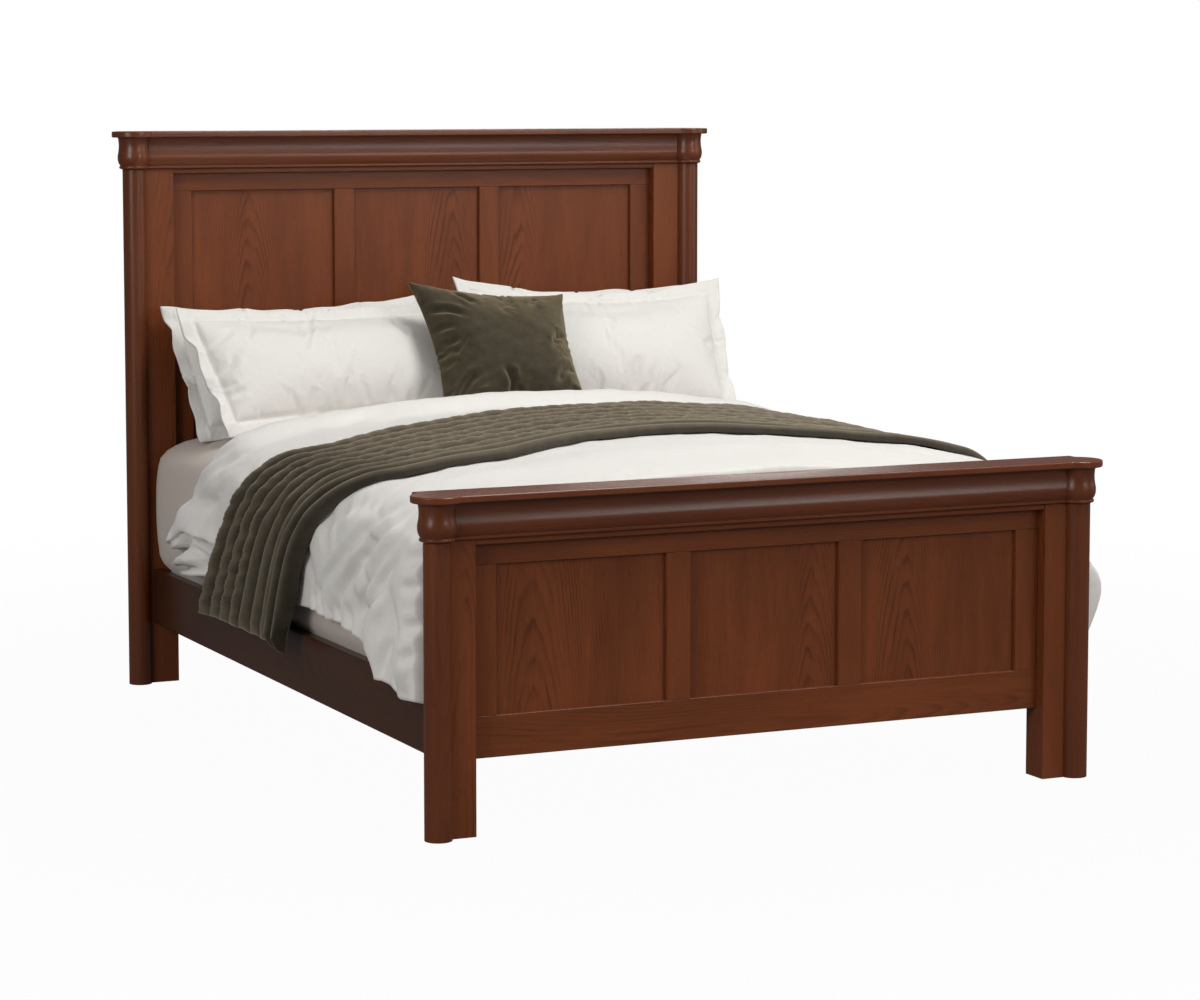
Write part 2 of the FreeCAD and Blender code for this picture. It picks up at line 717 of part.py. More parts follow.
def make_bracket(name, y, way, beam_low):
    """A folded saddle: a back plate against the board's rail, a floor and two cheeks."""
    body = new_body(name, y=y, z=beam_low)
    inner = "sizes.beam_wide / 2"
    outer = "sizes.beam_wide / 2 + sizes.bracket_sheet"
    saddle = outline(body, "saddle_section", "XZ", [
        (f"-({outer})", "-sizes.bracket_sheet"),
        (outer, "-sizes.bracket_sheet"),
        (outer, "40"),
        (inner, "40"),
        (inner, "0"),
        (f"-{inner}", "0"),
        (f"-{inner}", "40"),
        (f"-({outer})", "40"),
    ])
    padded_profile(body, "saddle", saddle, "sizes.bracket_reach", False, way > 0)
    back = outline(body, "back_outline", "XZ",
                   rectangle(f"-({outer})", "-sizes.bracket_sheet", outer, "40"))
    padded_profile(body, "back", back, "sizes.bracket_sheet", False, way > 0)
    return body


def make_levelling_foot(name, y):
    """A turned foot: a disc on a stem that screws into the leg."""
    body = new_body(f"levelling_foot_{name}", y=y)
    section = outline(body, "foot_section", "XZ", [
        ("0", "0"),
        ("sizes.foot_disc", "0"),
        ("sizes.foot_disc", "sizes.foot_disc_tall"),
        ("sizes.stem_radius", "sizes.foot_disc_tall"),
        ("sizes.stem_radius", "sizes.stem_top"),
        ("0", "sizes.stem_top"),
    ])
    spin = body.newObject("PartDesign::Revolution", "foot_spin")
    spin.Profile = section
    spin.ReferenceAxis = (section, ["V_Axis"])
    spin.Angle = 360.0
    keep(body, f"levelling_foot_{name}")


def make_glides():
    glides = []
    for face, column in (("sizes.foot_face", "sizes.foot_column"), ("sizes.head_face", "sizes.head_column")):
        for side in (-1, 1):
            x = f"{side} * (sizes.post_inner + {column}) / 2 - sizes.glide_wide / 2"
            y = f"{face} + sizes.post_depth / 2 - sizes.glide_wide / 2"
            glides.append(block("glide", x, y, "0", "sizes.glide_wide", "sizes.glide_wide",
                                "sizes.glide_thick"))
    keep(group_of("glides", glides), "post_glides")


def solid_feature(shape, label, place=None):
    """Holds a shape worked out below as an object of the document."""
    if shape.ShapeType == "Compound" and len(shape.Solids) == 1:
        shape = shape.Solids[0]
    piece = doc.addObject("Part::Feature", label)
    piece.Shape = shape
    if place:
        piece.Placement = place
    return keep(piece, label)


def closed(points):
    """A closed outline through points in space."""
    return Part.makePolygon([FreeCAD.Vector(*point) for point in points + points[:1]])


def flat_faces(corners):
    """One flat face through four corners, or two where they don't lie in one plane."""
    first, second, third, fourth = corners
    normal = (second - first).cross(fourth - first)
    if abs((third - first).dot(normal)) < 1e-7 * normal.Length:
        return [Part.Face(Part.makePolygon(corners + [first]))]
    halves = ([first, second, third, first], [first, third, fourth, first])
    return [Part.Face(Part.makePolygon(half)) for half in halves]


def faceted_loft(sections):
    """A solid through closed outlines of equally many points, with flat faces between them."""
    loops = [[FreeCAD.Vector(*point) for point in section] for section in sections]
    faces = []
    for near, far in zip(loops[:-1], loops[1:]):
        for number in range(len(near)):
            following = (number + 1) % len(near)
            faces += flat_faces([near[number], near[following], far[following], far[number]])
    for end in (loops[0], loops[-1]):
        faces.append(Part.Face(Part.makePolygon(end + end[:1])))
    solid = Part.Solid(Part.makeShell(faces))
    if solid.Volume < 0:
        solid.reverse()
    return solid


# The mattress from its underside up: height above the slats and how far the outline is drawn in.
# It is squeezed between the rails, swells above them and rounds over to a crowned top.
mattress_levels = [
    (0.3, 42.0),
    (22.0, 24.0),
    (36.0, 22.0),
    (62.0, 4.0),
    (100.0, 0.0),
    (310.0, 0.0),
    (347.0, 5.0),
    (378.0, 33.0),
    (398.0, 78.0),
    (406.0, 128.0),
    (412.0, 240.0),
]


def make_mattress():
    half = size("sizes.mattress_half")
    foot = size("sizes.foot_face + sizes.mattress_foot")
    head = size("sizes.foot_face + sizes.mattress_head")
    sections = []
    for height, inset in mattress_levels:
        corner = size("sizes.mattress_corner") - inset / 4.0
        z = size("sizes.slat_top") + height
        centres = (
            (half - inset - corner, head - inset - corner),
            (-half + inset + corner, head - inset - corner),
            (-half + inset + corner, foot + inset + corner),
            (half - inset - corner, foot + inset + corner),
        )
        points = []
        for quarter, (x, y) in enumerate(centres):
            for step in range(4):
                turn = math.radians(90.0 * quarter + 30.0 * step)
                points.append((x + corner * math.cos(turn), y + corner * math.sin(turn), z))
        sections.append(points)
    solid_feature(faceted_loft(sections), "mattress")


shoulder_steps = 4
crown_stations = (-475.0, -240.0, 0.0, 240.0, 475.0)


def duvet_profile(offset=0.0):
    """The duvet's upper outline across the bed, from the left side over the crown to the right side:
    for each point its place (x, z) and the way it faces. Round shoulders meet a long flat crown."""
    side_x = size("sizes.duvet_side")
    low = size("sizes.duvet_shoulder_low")
    edge_x = size("sizes.duvet_crown_half")
    edge_z = size("sizes.duvet_crown_edge")
    rise = edge_z - low
    run = side_x - edge_x
    radius = (rise * rise + run * run) / (2.0 * run)
    turn = math.atan2(rise, edge_x - side_x + radius)
    shoulder = []
    for step in range(shoulder_steps + 1):
        across = math.cos(turn * step / shoulder_steps)
        upward = math.sin(turn * step / shoulder_steps)
        x = side_x - radius + (radius + offset) * across
        shoulder.append(((x, low + (radius + offset) * upward), (across, upward)))
    sag = size("sizes.duvet_crown") - edge_z
    crown_radius = (edge_x * edge_x + sag * sag) / (2.0 * sag)
    crown = []
    for x in crown_stations:
        tilt = math.asin(x / crown_radius)
        height = (crown_radius + offset) * math.cos(tilt) + size("sizes.duvet_crown") - crown_radius
        crown.append(((x, height), (math.sin(tilt), math.cos(tilt))))
    left = [((-x, z), (-across, upward)) for (x, z), (across, upward) in shoulder]
    return left + crown + shoulder[::-1]


# Sections of the duvet from foot to head: how far up the bed, how much the section leans towards the
# head as it goes down, how far the crown is above its usual height, then for the left and the right
# side how far the fold stands out half-way down and at the hem, and the hem's height.
duvet_sections = [
    (83.0, 0.0, -30.0, (8.0, 12.0, 298.0), (58.0, 28.0, 318.0)),
    (150.0, 0.0, -20.0, (10.0, 18.0, 292.0), (62.0, 34.0, 311.0)),
    (235.0, 0.0, -10.0, (3.0, 7.0, 311.0), (34.0, 26.0, 330.0)),
    (325.0, 0.0, 0.0, (8.0, 20.0, 314.0), (0.0, 12.0, 350.0)),
    (425.0, 0.0, 0.0, (2.0, 7.0, 330.0), (0.0, 3.0, 352.0)),
    (445.0, 0.0, 0.0, (3.0, 10.0, 356.0), (0.0, 4.0, 358.0)),
    (540.0, 0.0, 0.0, (6.0, 16.0, 372.0), (0.0, 10.0, 366.0)),
    (680.0, 0.0, 0.0, (0.0, 3.0, 388.0), (0.0, 3.0, 380.0)),
    (1100.0, 0.0, 0.0, (0.0, 0.0, 395.0), (0.0, 0.0, 392.0)),
    (1320.0, 0.4, 0.0, (0.0, 0.0, 378.0), (0.0, 0.0, 384.0)),
    (1476.0, 0.74, 8.0, (2.0, 6.0, 367.0), (2.0, 6.0, 372.0)),
    (1500.0, 0.78, -14.0, (-16.0, -14.0, 374.0), (-16.0, -14.0, 380.0)),
]


def mattress_clearance():
    """The mattress's upper outline from its side to the flat of its top, with the duvet's play."""
    play = size("sizes.duvet_play")
    half = size("sizes.mattress_half")
    top = size("sizes.slat_top")
    return [(half - inset + play, top + height + play) for height, inset in mattress_levels[5:]]


def make_duvet():
    """A thick cover over the mattress: a shell of sections, and a foot end tucked down inside."""
    face = size("sizes.foot_face")
    level = size("sizes.duvet_crown")
    middle = size("sizes.duvet_fold_level")
    side_x = size("sizes.duvet_side")
    hem_x = size("sizes.rail_outer + sizes.duvet_hem_play")
    outline_points = [spot for spot, facing in duvet_profile()]
    inner = mattress_clearance()
    sections = []
    for up_bed, lean, lift, left, right in duvet_sections:
        trim = min(left[0], 0.0)
        points = [(-side_x - left[1], left[2]), (-side_x - left[0], middle)]
        for x, z in outline_points:
            share = (z - outline_points[0][1]) / (level - outline_points[0][1])
            points.append((x * (1.0 + trim / side_x), z + trim * share + lift * share))
        points += [(side_x + right[0], middle), (side_x + right[1], right[2]), (hem_x, right[2])]
        points += inner + [(-x, z) for x, z in reversed(inner)] + [(-hem_x, left[2])]
        sections.append([(x, face + up_bed + lean * (level - z), z) for x, z in points])
    shell = faceted_loft(sections)
    start = face + duvet_sections[0][0]
    tuck_low = size("sizes.duvet_tuck_low")
    end_x = inner[0][0]
    corners = inner + [(-x, z) for x, z in reversed(inner)] + [(-end_x, tuck_low), (end_x, tuck_low)]
    end_face = Part.Face(closed([(x, start, z) for x, z in corners]))
    depth = size("sizes.mattress_foot") - duvet_sections[0][0] - 0.5
    tuck = end_face.extrude(FreeCAD.Vector(0, depth, 0))
    solid_feature(shell.fuse(tuck).removeSplitter(), "duvet")


# The throw's foot-side and head-side edges up the bed, at each place of the duvet's outline
throw_edges = [
    (600.0, 1250.0),
    (560.0, 1200.0),
    (520.0, 1150.0),
    (480.0, 1100.0),
    (440.0, 1050.0),
    (455.0, 1110.0),
    (520.0, 1165.0),
    (560.0, 1220.0),
    (515.0, 1290.0),
    (430.0, 1340.0),
    (360.0, 1380.0),
    (357.0, 1385.0),
    (355.0, 1390.0),
    (352.0, 1395.0),
    (350.0, 1400.0),
]
# A quilted channel's swell: share of its width and share of its height
channel_swell = [(0.16, 0.7), (0.5, 1.0), (0.84, 0.7)]


def make_throw():
    """A quilted throw laid across the bed: channels that run along it, with a fat rolled fold on its
    foot side. It hangs down the left side to below the rail's top."""
    face = size("sizes.foot_face")
    places = duvet_profile(size("sizes.throw_play"))
    side_x = size("sizes.duvet_side + sizes.throw_play")
    stations = [((-side_x, size("sizes.throw_hem")), (-1.0, 0.0), 800.0, 1490.0)]
    for (spot, facing), (foot_side, head_side) in zip(places, throw_edges):
        stations.append((spot, facing, foot_side, head_side))
    stations.append(((side_x, size("sizes.throw_right_hem")), (1.0, 0.0), 340.0, 1410.0))

    channels = int(size("sizes.throw_channels"))
    base = size("sizes.throw_base")
    roll_wide = size("sizes.throw_roll_wide")
    heights = [size("sizes.throw_roll")] + [size("sizes.throw_crown")] * channels
    sections = []
    for (x, z), (face_x, face_z), foot_side, head_side in stations:
        pitch = (head_side - foot_side - roll_wide) / channels
        seams = [foot_side, foot_side + roll_wide]
        seams += [foot_side + roll_wide + pitch * number for number in range(1, channels + 1)]
        across = [(foot_side, 0.0), (foot_side, base)]
        for first, last, height in zip(seams[:-1], seams[1:], heights):
            for along_share, up_share in channel_swell:
                across.append((first + (last - first) * along_share, base + height * up_share))
            across.append((last, base))
        across.append((head_side, 0.0))
        sections.append([(x + face_x * out, face + up_bed, z + face_z * out) for up_bed, out in across])
    solid_feature(faceted_loft(sections), "throw")


def cushion_outline(half_wide, half_tall, drawn_in, y):
    """Four sides that pull in between pointed corners, at depth y."""
    corners = [(-half_wide, -half_tall), (half_wide, -half_tall), (half_wide, half_tall),
               (-half_wide, half_tall)]
    inward = [(0, 1), (-1, 0), (0, -1), (1, 0)]
    points = []
    for number, (in_x, in_z) in enumerate(inward):
        first = corners[number]
        last = corners[(number + 1) % 4]
        for share in (0.0, 0.25, 0.5, 0.75):
            bow = drawn_in * 4.0 * share * (1.0 - share)
            x = first[0] + (last[0] - first[0]) * share + in_x * bow
            z = first[1] + (last[1] - first[1]) * share + in_z * bow
            points.append((x, y, z))
    return points


# A cushion's swell, as pairs of how far out towards its crown and how much of the outline is left
swell = [(1.0, 0.25), (0.95, 0.48), (0.8, 0.72), (0.5, 0.9)]


def cushion_sections(half_wide, half_tall, half_thick, drawn_in, way):
    """Outlines of one half of a cushion from its crown outwards."""
    return [
        cushion_outline(half_wide * part, half_tall * part, drawn_in * part, way * half_thick * out)
        for out, part in swell
    ]


def leaning_place(x, up_bed, z, lean, roll):
    """A place on the bed, turned in its own plane and then leant back towards the headboard."""
    turned = FreeCAD.Rotation(FreeCAD.Vector(1, 0, 0), -lean).multiply(
        FreeCAD.Rotation(FreeCAD.Vector(0, 1, 0), roll))
    return FreeCAD.Placement(FreeCAD.Vector(x, size("sizes.foot_face") + up_bed, z), turned)


# Pillows: name, middle (x, up the bed, z), lean, roll, how much less than the usual half width, and
# half the height over the border
pillow_places = [
    ("pillow_back_left", (-402.0, 2000.0, 894.0), 28.0, -1.0, 14.0, 208.0),
    ("pillow_back_right", (402.0, 2000.0, 897.0), 28.0, 1.0, 14.0, 210.0),
    ("pillow_front_left", (-378.0, 1860.0, 893.0), 33.0, -2.0, 0.0, 208.0),
    ("pillow_front_right", (444.0, 1858.0, 907.0), 33.0, 2.0, 0.0, 224.0),
]


def make_pillows():
    """Pillows that swell out of a flat sewn border."""
    half_wide = size("sizes.pillow_half_wide")
    border = size("sizes.pillow_border")
    drawn_in = size("sizes.pillow_drawn_in")
    edge = size("sizes.border_thick") / 2.0
    seam = edge + 1.0
    for name, (x, up_bed, z), lean, roll, shorter, half_tall in pillow_places:
        wide = half_wide - shorter
        body = (wide - border, half_tall - border)
        front = cushion_sections(*body, size("sizes.pillow_half_thick"), drawn_in * 0.6, -1)
        back = cushion_sections(*body, size("sizes.pillow_half_thick"), drawn_in * 0.6, 1)
        sections = front + [
            cushion_outline(*body, drawn_in * 0.6, -seam),
            cushion_outline(wide, half_tall, drawn_in, -edge),
            cushion_outline(wide, half_tall, drawn_in, edge),
            cushion_outline(*body, drawn_in * 0.6, seam),
        ] + back[::-1]
        solid_feature(faceted_loft(sections), name, leaning_place(x, up_bed, z, lean, roll))


def make_accent_cushion():
    half = size("sizes.cushion_half")
    drawn_in = size("sizes.cushion_drawn_in")
    body = (half, half, size("sizes.cushion_half_thick"), drawn_in)
    seam = cushion_outline(half, half, drawn_in, 0.0)
    sections = cushion_sections(*body, -1) + [seam] + cushion_sections(*body, 1)[::-1]
    place = leaning_place(92.0, 1716.0, 908.0, 30.0, 5.0)
    solid_feature(faceted_loft(sections), "accent_cushion", place)


make_board("footboard", "foot_face", "foot_column", "foot_cap_low")
make_board("headboard", "head_face", "head_column", "head_cap_low")
make_side_rails()
make_hook_plates()
make_deck()
make_glides()
make_mattress()
make_duvet()
make_throw()
make_pillows()
make_accent_cushion()

doc.recompute()
for piece in doc.Objects:
    if "Invalid" in piece.State or "Error" in piece.State:
        raise RuntimeError(f"{piece.Label} did not build: {piece.State}")
for piece in subparts:
    if piece.Shape.isNull() or not piece.Shape.isValid():
        raise RuntimeError(f"{piece.Label} has no valid shape")
for piece in subparts:
    piece.Shape.exportStep(f"parts/{piece.Label}.step")
print(f"{len(subparts)} sub-parts written")
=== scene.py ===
import math

import bpy
import numpy as np
from mathutils import Matrix, Vector, noise
from mathutils.bvhtree import BVHTree


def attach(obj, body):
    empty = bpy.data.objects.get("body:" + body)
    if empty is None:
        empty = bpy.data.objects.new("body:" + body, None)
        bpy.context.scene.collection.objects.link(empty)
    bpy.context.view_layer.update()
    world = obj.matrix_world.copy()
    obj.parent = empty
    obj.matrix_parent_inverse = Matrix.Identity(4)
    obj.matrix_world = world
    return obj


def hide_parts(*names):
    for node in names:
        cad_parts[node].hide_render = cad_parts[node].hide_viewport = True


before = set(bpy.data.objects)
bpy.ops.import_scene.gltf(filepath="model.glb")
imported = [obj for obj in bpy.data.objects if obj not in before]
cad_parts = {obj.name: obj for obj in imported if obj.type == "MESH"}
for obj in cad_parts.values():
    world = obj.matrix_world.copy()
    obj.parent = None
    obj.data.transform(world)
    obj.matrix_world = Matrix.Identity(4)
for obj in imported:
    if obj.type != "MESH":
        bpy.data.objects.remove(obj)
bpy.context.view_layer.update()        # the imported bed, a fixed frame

bpy.ops.object.select_all(action="DESELECT")
print("bed frame loaded")

# ---- camera, floor and lamps

cameraSetup = {
    "place": (-3.50266, -7.7108, 1.64445),
    "heading": 0.43373,       # radians from the bed's long axis
    "downward": 0.09576,
    "lens": 100.412,
    "shiftUp": -0.08,
}


def setCamera():
    bpy.ops.object.camera_add(location=cameraSetup["place"])
    camera = bpy.context.object
    tilt = math.pi / 2 - cameraSetup["downward"]
    camera.rotation_euler = (tilt, 0, -cameraSetup["heading"])
    camera.data.lens = cameraSetup["lens"]
    camera.data.sensor_width = 36
    camera.data.shift_y = cameraSetup["shiftUp"]
    camera.data.clip_end = 200
    bpy.context.scene.camera = camera


lampSetups = {
    "keyLamp": {"place": (1.7, -2.3, 5.8), "size": (3.0, 2.0), "power": 216},
    "frontLamp": {"place": (3.2, -6.6, 2.5), "size": (2.4, 1.2), "power": 76},
    "leftLamp": {"place": (-5.6, -3.4, 2.6), "size": (2.4, 2.4), "power": 130},
    "rightLamp": {"place": (5.0, -1.6, 2.0), "size": (2.4, 2.4), "power": 26},
    "headLamp": {"place": (2.2, 5.2, 2.9), "size": (3.0, 1.0), "power": 30, "tint": (1, 0.97, 0.93)},
}
lampTint = (1, 0.99, 0.97)
bedMiddle = Vector((0, 0, 0.6))


def setLamps():
    for name, lamp in lampSetups.items():
        bpy.ops.object.light_add(type="AREA", location=lamp["place"])
        light = bpy.context.object
        light.name = name
        light.data.shape = "RECTANGLE"
        light.data.size, light.data.size_y = lamp["size"]
        light.data.energy = lamp["power"]
        light.data.color = lamp.get("tint", lampTint)
        aim = bedMiddle - Vector(lamp["place"])
        light.rotation_euler = aim.to_track_quat("-Z", "Y").to_euler()


# ---- node helpers


def setInputs(tree, node, values):
    # links what is a socket, and sets what is a value
    for key, value in values.items():
        if isinstance(value, bpy.types.NodeSocket):
            tree.links.new(value, node.inputs[key])
        else:
            node.inputs[key].default_value = value


def addNode(tree, kind, values=None, **settings):
    made = tree.nodes.new("ShaderNode" + kind)
    for key, value in settings.items():
        setattr(made, key, value)
    setInputs(tree, made, values or {})
    return made


def calculate(tree, operation, first, second=0.0, third=0.0):
    values = {0: first, 1: second}
    if operation in ("MULTIPLY_ADD", "COMPARE"):
        values[2] = third
    return addNode(tree, "Math", values, operation=operation).outputs[0]


def vectorMath(tree, operation, *values):
    made = addNode(tree, "VectorMath", dict(enumerate(values)), operation=operation)
    return made.outputs["Value" if operation == "LENGTH" else "Vector"]


def spread(tree, vector, amounts):
    return vectorMath(tree, "MULTIPLY", vector, amounts)


def rescaled(tree, value, low, high, least=0.0, most=1.0):
    ends = {"From Min": low, "From Max": high, "To Min": least, "To Max": most}
    return addNode(tree, "MapRange", {"Value": value, **ends}).outputs[0]


def noiseOf(tree, vector, scale=1.0, detail=2.0, rough=0.5):
    values = {"Vector": vector, "Scale": scale, "Detail": detail, "Roughness": rough}
    return addNode(tree, "TexNoise", values)


def ramp(tree, value, stops):
    made = addNode(tree, "ValToRGB", {0: value})
    line = made.color_ramp
    while len(line.elements) < len(stops):
        line.elements.new(0.5)
    for element, (place, shade) in zip(line.elements, stops):
        element.position = place
        element.color = (shade, shade, shade, 1) if isinstance(shade, (int, float)) else (*shade, 1)
    return made.outputs[0]


def blendColours(tree, share, first, second):
    ends = [end if isinstance(end, bpy.types.NodeSocket) else (*end, 1) for end in (first, second)]
    return addNode(tree, "Mix", {0: share, 6: ends[0], 7: ends[1]}, data_type="RGBA").outputs[2]


def newGroup(name, inputs, outputs):
    tree = bpy.data.node_groups.new(name, "ShaderNodeTree")
    for label, kind, start in inputs:
        socket = tree.interface.new_socket(label, in_out="INPUT", socket_type="NodeSocket" + kind)
        socket.default_value = start
    for label, kind in outputs:
        tree.interface.new_socket(label, in_out="OUTPUT", socket_type="NodeSocket" + kind)
    return tree, tree.nodes.new("NodeGroupInput").outputs, tree.nodes.new("NodeGroupOutput").inputs


def newMaterial(name):
    material = bpy.data.materials.new(name)
    material.use_nodes = True
    return material, material.node_tree, material.node_tree.nodes["Principled BSDF"]


# ---- floor and background


studioLook = {
    "floor": (0.18, 0.178, 0.175, 1),
    "air": (0.38, 0.378, 0.376, 1),
    "glossShare": 0.12,       # how much of the white backdrop the satin lacquer shows
    "nearShare": 0.97,        # how white the camera sees the floor under the bed
    "fade": (1.6, 4.5),       # metres from the bed's middle over which the floor turns white
}


def addBackdrop(tree, lit, white, share=1.0):
    # camera and transmission rays see the white backdrop, glossy rays a dim part of it
    path = addNode(tree, "LightPath").outputs
    seen = calculate(tree, "MAXIMUM", path["Is Camera Ray"], path["Is Transmission Ray"])
    seen = calculate(tree, "MULTIPLY", seen, share)
    kind = "Background" if white.bl_idname == "ShaderNodeBackground" else "Emission"
    dim = addNode(tree, kind, {"Color": (1, 1, 1, 1), "Strength": studioLook["glossShare"]})
    glossed = addNode(tree, "MixShader", {0: path["Is Glossy Ray"], 1: lit.outputs[0], 2: dim.outputs[0]})
    return addNode(tree, "MixShader", {0: seen, 1: glossed.outputs[0], 2: white.outputs[0]})


def setFloor():
    bpy.ops.mesh.primitive_plane_add(size=60)
    floor = bpy.context.object
    floor.name = "studioFloor"
    material, tree, shader = newMaterial("paleFloor")
    setInputs(tree, shader, {"Base Color": studioLook["floor"], "Roughness": 0.9})
    place = addNode(tree, "TexCoord").outputs["Object"]
    far = vectorMath(tree, "LENGTH", place)
    share = rescaled(tree, far, *studioLook["fade"], studioLook["nearShare"], 1.0)
    white = addNode(tree, "Emission", {"Color": (1, 1, 1, 1), "Strength": 1.0})
    mixed = addBackdrop(tree, shader, white, share)
    tree.links.new(mixed.outputs[0], tree.nodes["Material Output"].inputs["Surface"])
    floor.data.materials.append(material)


def setBackground():
    world = bpy.data.worlds.new("studioAir")
    bpy.context.scene.world = world
    world.use_nodes = True
    tree = world.node_tree
    back = tree.nodes["Background"]
    back.inputs["Color"].default_value = studioLook["air"]
    white = addNode(tree, "Background", {"Color": (1, 1, 1, 1), "Strength": 1.0})
    mixed = addBackdrop(tree, back, white)
    tree.links.new(mixed.outputs[0], tree.nodes["World Output"].inputs["Surface"])


setCamera()
setLamps()
setFloor()
setBackground()
bpy.context.scene.view_settings.view_transform = "Standard"
print("camera, lamps and floor set")

# ---- wood finish


# the noises' sizes along the grain's three ways, per metre
grainSizes = {
    "bends": (((4, 4, 0.9), 2, (0.075, 0.075, 0.35)), ((17, 17, 1.8), 4, (0.014, 0.014, 0.05))),
    "patch": (26, 26, 3.5), "fibre": (520, 520, 14), "cloud": (9, 9, 1.8), "pore": (900, 900, 40),
    "lateWood": [(0.0, 0.25), (0.12, 0.0), (0.55, 0.12), (0.9, 1.0), (1.0, 0.25)],
}


def makeGrainGroup():
    tree, given, out = newGroup("cherryGrain", [
        ("Grain", "Vector", (0, 0, 0)), ("Heart", "Vector", (0, 0.06, 0)), ("Slope", "Float", 0.05),
        ("Ring Width", "Float", 0.006), ("Line Strength", "Float", 0.6),
        ("Pale Colour", "Color", (0, 0, 0, 1)), ("Deep Colour", "Color", (0, 0, 0, 1)),
        ("Line Colour", "Color", (0, 0, 0, 1))],
        [("Color", "Color"), ("Roughness", "Float"), ("Height", "Float")])
    grain = bent = given["Grain"]
    for stretch, detail, reach in grainSizes["bends"]:
        wander = noiseOf(tree, spread(tree, grain, stretch), detail=detail).outputs["Color"]
        wander = vectorMath(tree, "SUBTRACT", wander, (0.5, 0.5, 0.5))
        bent = vectorMath(tree, "ADD", bent, spread(tree, wander, reach))
    noises = {}
    for name, detail in (("patch", 2), ("fibre", 3), ("cloud", 3), ("pore", 1)):
        noises[name] = noiseOf(tree, spread(tree, grain, grainSizes[name]), detail=detail).outputs["Fac"]
    # growth rings round the heart of the tree, darker in patches where the late wood is dense
    fromHeart = spread(tree, vectorMath(tree, "SUBTRACT", bent, given["Heart"]), (1, 1, 0))
    up = addNode(tree, "SeparateXYZ", {0: bent}).outputs["Z"]
    ring = calculate(tree, "MULTIPLY_ADD", up, given["Slope"], vectorMath(tree, "LENGTH", fromHeart))
    ring = calculate(tree, "FRACT", calculate(tree, "DIVIDE", ring, given["Ring Width"]))
    late = ramp(tree, ring, grainSizes["lateWood"])
    late = calculate(tree, "MULTIPLY", late, rescaled(tree, noises["patch"], 0.35, 0.65))
    late = calculate(tree, "MULTIPLY", late, given["Line Strength"])
    fibre = noises["fibre"]
    tone = calculate(tree, "MULTIPLY_ADD", fibre, 0.55, calculate(tree, "MULTIPLY", noises["cloud"], 0.9))
    tone = rescaled(tree, tone, 0.42, 1.02)
    colour = blendColours(tree, tone, given["Deep Colour"], given["Pale Colour"])
    colour = blendColours(tree, late, colour, given["Line Colour"])
    pore = rescaled(tree, noises["pore"], 0.62, 0.75)
    colour = blendColours(tree, calculate(tree, "MULTIPLY", pore, 0.5), colour, given["Line Colour"])
    tree.links.new(colour, out["Color"])
    tree.links.new(calculate(tree, "MULTIPLY_ADD", fibre, 0.10, 0.25), out["Roughness"])
    tree.links.new(calculate(tree, "SUBTRACT", calculate(tree, "MULTIPLY", fibre, 0.4), pore), out["Height"])
    return tree


grainGroup = makeGrainGroup()
usualFinish = {"line": (0.040, 0.0115, 0.0050), "heart": (0.10, 0.05, 0), "slope": 0.02, "ring": 0.0050,
               "lines": 0.28, "pores": 0.12}
woodFinishes = {
    "cherryLacquer": {"pale": (0.158, 0.0410, 0.0130), "deep": (0.098, 0.0245, 0.0075), "grip": 0.40},
    "capLacquer": {"pale": (0.170, 0.0440, 0.0140), "deep": (0.110, 0.0270, 0.0080), "grip": 0.45,
                   "gloss": 0.27, "pores": 0.0},
    "frameLacquer": {"pale": (0.208, 0.0560, 0.0172), "deep": (0.126, 0.0322, 0.0100), "grip": 0.26,
                     "line": (0.038, 0.0110, 0.0050), "slope": 0.03, "ring": 0.0045, "lines": 0.5},
    # the side rails: the same cherry painted much darker, as painted shade for the duvet's shadow that falls
    # on them
    "railPaintedShadeLacquer": {"pale": (0.072, 0.0240, 0.0105), "deep": (0.050, 0.0165, 0.0075), "grip": 0.22,
                    "line": (0.020, 0.0080, 0.0045), "lines": 0.35},
    "panelLacquer": {"pale": (0.222, 0.0590, 0.0185), "deep": (0.126, 0.0322, 0.0100), "grip": 0.26,
                     "line": (0.036, 0.0105, 0.0048), "heart": (0.0, 0.09, 0), "slope": 0.075,
                     "ring": 0.0048, "lines": 0.62},
    "deckPine": {"pale": (0.62, 0.43, 0.25), "deep": (0.46, 0.29, 0.15), "grip": 0.3,
                 "line": (0.30, 0.16, 0.07), "heart": (0.02, 0.05, 0), "slope": 0.03, "ring": 0.007,
                 "lines": 0.6},
}


def makeWood(name, finish, fromPiece):
    # lacquered pieces carry their own grain, and the deck takes it along its boards
    material, tree, shader = newMaterial(name)
    if fromPiece:
        grain = addNode(tree, "Attribute", attribute_name="grainPlace").outputs["Vector"]
    else:
        grain = addNode(tree, "TexCoord").outputs["Object"]
        grain = addNode(tree, "Mapping", {"Vector": grain, "Rotation": (0, math.pi / 2, 0)}).outputs[0]
    out = addNode(tree, "Group", {
        "Grain": grain, "Heart": finish["heart"], "Slope": finish["slope"],
        "Ring Width": finish["ring"], "Line Strength": finish["lines"],
        "Pale Colour": (*finish["pale"], 1), "Deep Colour": (*finish["deep"], 1),
        "Line Colour": (*finish["line"], 1)}, node_tree=grainGroup).outputs
    bump = addNode(tree, "Bump", {"Height": out["Height"], "Strength": finish["pores"],
                                  "Distance": 0.0004})
    setInputs(tree, shader, {
        "Base Color": out["Color"], "Roughness": finish.get("gloss", out["Roughness"]),
        "Specular IOR Level": finish["grip"], "Normal": bump.outputs[0]})
    return material


woods = {}
for name, finish in woodFinishes.items():
    woods[name] = makeWood(name, {**usualFinish, **finish}, name != "deckPine")


